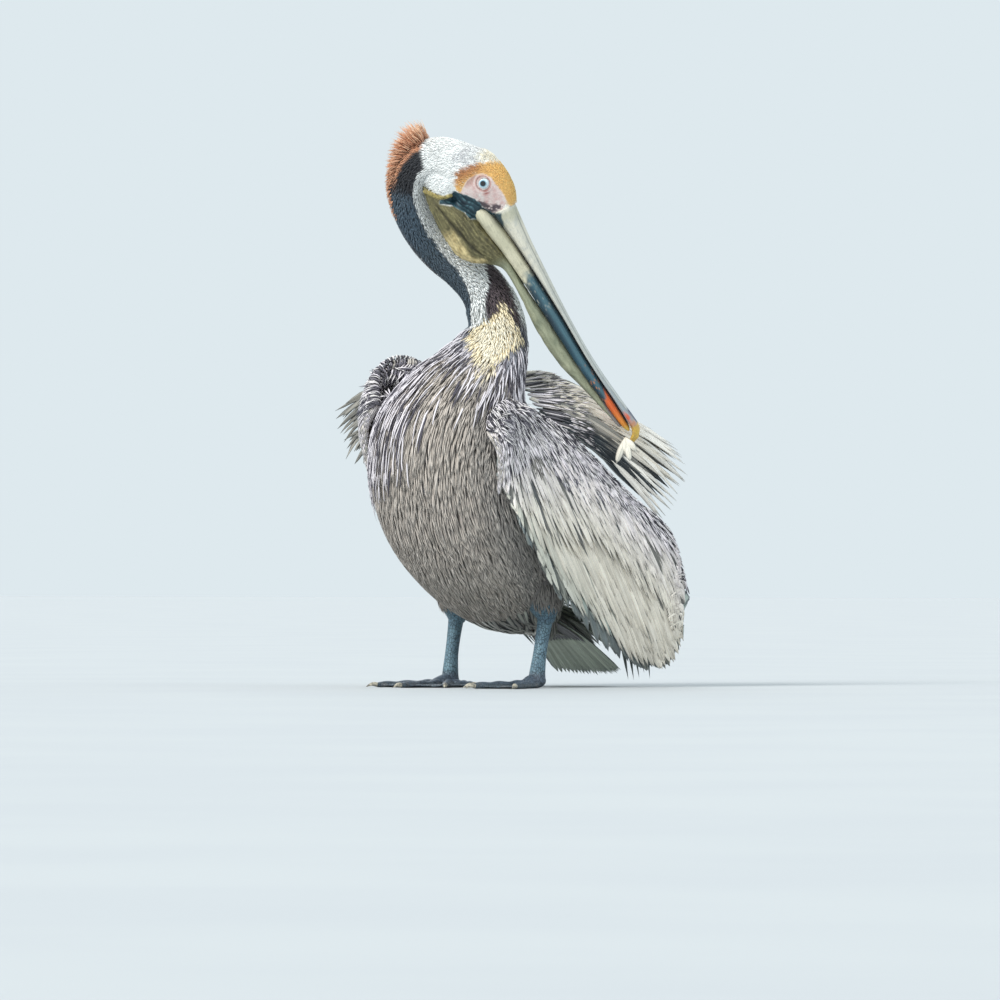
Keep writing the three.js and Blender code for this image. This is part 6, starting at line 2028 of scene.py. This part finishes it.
def coat_tail(mat):
    b = Coat("coat_tail")
    n = 22
    for f_ in (1, -1):
        s = np.linspace(0.02, 0.98, n)
        t = np.full(n, 0.0)
        L = np.full(n, 140.0) * (1 - 0.1 * (2 * s - 1) ** 2) * rng.uniform(0.97, 1.0, n)
        c1 = tone(srgb(140, 148, 138), n) if f_ > 0 else tone(srgb(182, 188, 172), n)
        surface_feathers(b, tail, s, t, L, np.full(n, 6.6), 1.0, (2 * s - 1) * 0.0, np.stack([np.full(n, 0.1), 0.2 + 0.9 * (np.arange(n) % 2)], 1), f_,
                         c1, tone(srgb(70, 76, 74), n), np.stack([s, 0.1 + 0 * s], 1), 9, "vane", [0.5, 0.9, 1.0, 1.0, 1.0, 0.9, 0.6])
        # tail coverts
        for row, (t0, nr, l) in enumerate(((0.1, 16, 52), (-0.06, 15, 50), (-0.2, 12, 46))):
            s = (np.arange(nr) + rng.uniform(0.2, 0.8, nr)) / nr
            col = srgb(170, 166, 160) if f_ > 0 else srgb(110, 108, 108)
            surface_feathers(b, tail, s, np.full(nr, t0), np.full(nr, float(l)), np.full(nr, 5.2), 0.9, 0 * s, np.stack([np.full(nr, 3.0 + 1.5 * row), np.full(nr, 2.4)], 1), f_,
                             tone(col, nr), tone(srgb(70, 70, 72), nr), np.stack([s, 0.5 + 0.1 * row + 0 * s], 1), 5, "leaf", [0.6, 1, 1, 0.8])
    for row, (t0, nr, l, o0) in enumerate(((0.18, 14, 66, 10), (0.0, 14, 72, 16), (-0.16, 12, 70, 20))):
        s = (np.arange(nr) + rng.uniform(0.2, 0.8, nr)) / nr
        c1 = mix(srgb(150, 152, 142), srgb(108, 108, 104), rng.uniform(size=nr))
        surface_feathers(b, tail, s, np.full(nr, t0), l * rng.uniform(0.8, 1.1, nr), np.full(nr, 5.0), 0.9, (s - 0.5) * 0.25, np.stack([np.full(nr, float(o0)), np.full(nr, 5.0 + 3 * row)], 1), 1,
                         c1, tone(srgb(62, 66, 66), nr), np.stack([s, 0.8 + 0.05 * row + 0 * s], 1), 5, "leaf", [0.6, 1, 1, 0.7])
    # loose feathers of the left flank lying over the tail's edge
    for row, (t0, nr, l, o0) in enumerate(((-0.32, 15, 92, 12), (-0.12, 15, 92, 10), (0.1, 14, 84, 6))):
        s = 0.7 + 0.5 * (np.arange(nr) + rng.uniform(0.2, 0.8, nr)) / nr
        c1 = mix(srgb(158, 162, 146), srgb(104, 108, 98), rng.uniform(size=nr))
        surface_feathers(b, tail, s, np.full(nr, t0) + rng.uniform(-0.05, 0.05, nr), l * rng.uniform(0.75, 1.1, nr), rng.uniform(3.6, 5.0, nr), 0.9, rng.uniform(0.0, 0.22, nr),
                         np.stack([np.full(nr, float(o0) + 3), rng.uniform(12, 30, nr)], 1), 1, c1, tone(srgb(62, 68, 62), nr), np.stack([0.5 + s * 0.4, 0.9 + 0.03 * row + 0 * s], 1), 6, "leaf", [0.6, 1, 1, 0.7])
    b.make(mat, ["tail"])


def coat_wingtips(mat):
    """The dark primaries of both wings, folded in a bundle."""
    b = Coat("coat_primaries")
    for side, (ra, rb, ta, tb) in (("left", (A(130, 92, 200), A(139, 148, 212), A(91, 212, 4.5), A(103, 242, 4.5))),
                                   ("right", (A(-104, 110, 168), A(-102, 160, 180), A(-60, 218, 46), A(-74, 244, 56)))):
        sg = 1 if side == "left" else -1

        def surf(s, t, ra=ra, rb=rb, ta=ta, tb=tb, sg=sg):
            s, t = np.broadcast_arrays(np.asarray(s, float), np.asarray(t, float))
            p = mix(mix(ra, rb, s), mix(ta, tb, s), t)
            p[..., 0] += sg * 4 * np.sin(np.pi * np.clip(t, 0, 1))
            return p
        for f_ in (1, -1):
            n = 9
            s = np.linspace(0.03, 0.97, n)
            L = np.linalg.norm(mix(ta, tb, s) - mix(ra, rb, s), axis=1) * rng.uniform(0.86, 0.99, n)
            surface_feathers(b, surf, s, 0 * s, L, np.full(n, 3.4), 0.9, 0 * s, np.stack([np.full(n, 0.3), 0.4 + 0.8 * (np.arange(n) % 2)], 1), f_,
                             tone(srgb(86, 96, 92), n, 0.8, 1.25), tone(srgb(186, 194, 184), n), np.stack([s, 0.2 + 0 * s], 1), 8, "vane",
                             [0.7, 1.0, 1.0, 1.0, 0.9, 0.6])
    b.make(mat, [])


def held_feather(mat):
    b = Coat("held_feather")
    P, c = [], []
    tip = in_head(318, -2, 6)
    for dx, dz, L in ((0.2, -1.0, 30), (-0.35, -1.0, 34), (0.6, -0.75, 22), (0.0, -1.0, 22)):
        d = unit(E_ACROSS * dx + E_UP * dz)
        line = np.stack([tip + d * L * t + E_OUT * 4 * math.sin(3 * t) for t in np.linspace(0, 1, 7)])
        P.append(line)
    P = np.array(P)
    T_ = unit(np.gradient(P, axis=1))
    S = unit(np.cross(E_OUT + 0 * T_, T_))
    N = unit(np.cross(T_, S))
    n = len(P)
    b.add(P[:, :6], S[:, :6], N[:, :6], np.full((n, 1), 4.4) * A(0.25, 0.6, 0.9, 1.0, 0.95, 0.7)[None], 0.8, tone(srgb(228, 222, 208), n), tone(srgb(204, 198, 186), n),
          np.full((n, 2), 0.5), "vane", tip=P[:, 6], patch=(0.1, 0.2))
    b.make(mat, [])


# ---------------------------------------------------------------- build
skin = make_skin()
keep_largest(skin)
places_off = body_places(arrays(skin.data)[0])
places = dress_skin(skin)
skin.data.materials.append(skin_material())
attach(skin, "root")
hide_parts("trunk", "neck_lower", "neck_mid", "neck_upper", "head", "throat_pouch", "wing_left_arm", "wing_right_arm",
            "thigh_left", "thigh_right", "shank_left", "shank_right", "foot_left", "foot_right")

down = feather_material("plumage", (0.25, 0.8), 0.16, 0.7)
plume = feather_material("wing coverts", (0.38, 0.72), 0.12, 0.62)
vane = feather_material("flight feathers", (0.66, 0.95), 0.14, 0.56, shaft=0.16)

make_bill(bill_material())
make_eyes(eye_material())
make_claws(claw_material())
coat_trunk(down)
coat_flanks(plume)
coat_neck(down)
coat_head(down, skin, places)
coat_crest(down)
for side in ("left", "right"):
    coat_wing(side, (plume, vane))
    coat_scapulars(side, vane)
coat_tertials(vane)
coat_ruffled(vane)
coat_tail(vane)
coat_wingtips(vane)
held_feather(vane)

# ---------------------------------------------------------------- stage
def stage():
    m = Nodes("floor")
    n = m.noise(3.0, 3)
    c = m.blend((*srgb(189, 193, 196), 1), (*srgb(192, 196, 198), 1), m.remap(n, 0.3, 0.7))
    m.link(c, m.bsdf.inputs["Base Color"])
    m.set(Roughness=0.85)
    me = bpy.data.meshes.new("floor")
    s = 40.0
    me.from_pydata([(-s, -s, 0), (s, -s, 0), (s, s, 0), (-s, s, 0)], [], [(0, 1, 2, 3)])
    me.materials.append(m.mat)
    o = thing(me)
    world = bpy.data.worlds.new("studio")
    bpy.context.scene.world = world
    world.use_nodes = True
    bg = world.node_tree.nodes["Background"]
    bg.inputs[0].default_value = (*srgb(222, 233, 238), 1)
    bg.inputs[1].default_value = 1.0
    for name, loc, power, angle, colour in (
            ("key", turned(-1500, 1700, 1500), 2.5, 22, (1.0, 0.98, 0.95)),
            ("fill", turned(1900, 900, 1300), 0.35, 40, (0.93, 0.97, 1.0)),
            ("back", turned(-300, 1300, -1900), 0.45, 40, (0.95, 0.98, 1.0))):
        l = bpy.data.lights.new(name, "SUN")
        l.angle = math.radians(angle)
        l.energy = power
        l.color = colour
        ob = bpy.data.objects.new(name, l)
        bpy.context.scene.collection.objects.link(ob)
        ob.location = Vector(loc / 1000)
        ob.rotation_euler = (-Vector(loc)).to_track_quat("-Z", "Y").to_euler()
    cam = bpy.data.cameras.new("camera")
    cam.lens = 265.6
    cam.sensor_width = 36
    cam.clip_end = 100
    co = bpy.data.objects.new("camera", cam)
    bpy.context.scene.collection.objects.link(co)
    at = Vector((E_ACROSS * 47.6 + E_OUT * 9000 + E_UP * 130 + SHIFT) / 1000)
    to = Vector((E_ACROSS * 47.6 + E_UP * 229.4 + SHIFT) / 1000)
    co.location = at
    co.rotation_euler = (to - at).to_track_quat("-Z", "Y").to_euler()
    bpy.context.scene.camera = co
    bpy.context.scene.view_settings.view_transform = "Standard"


stage()
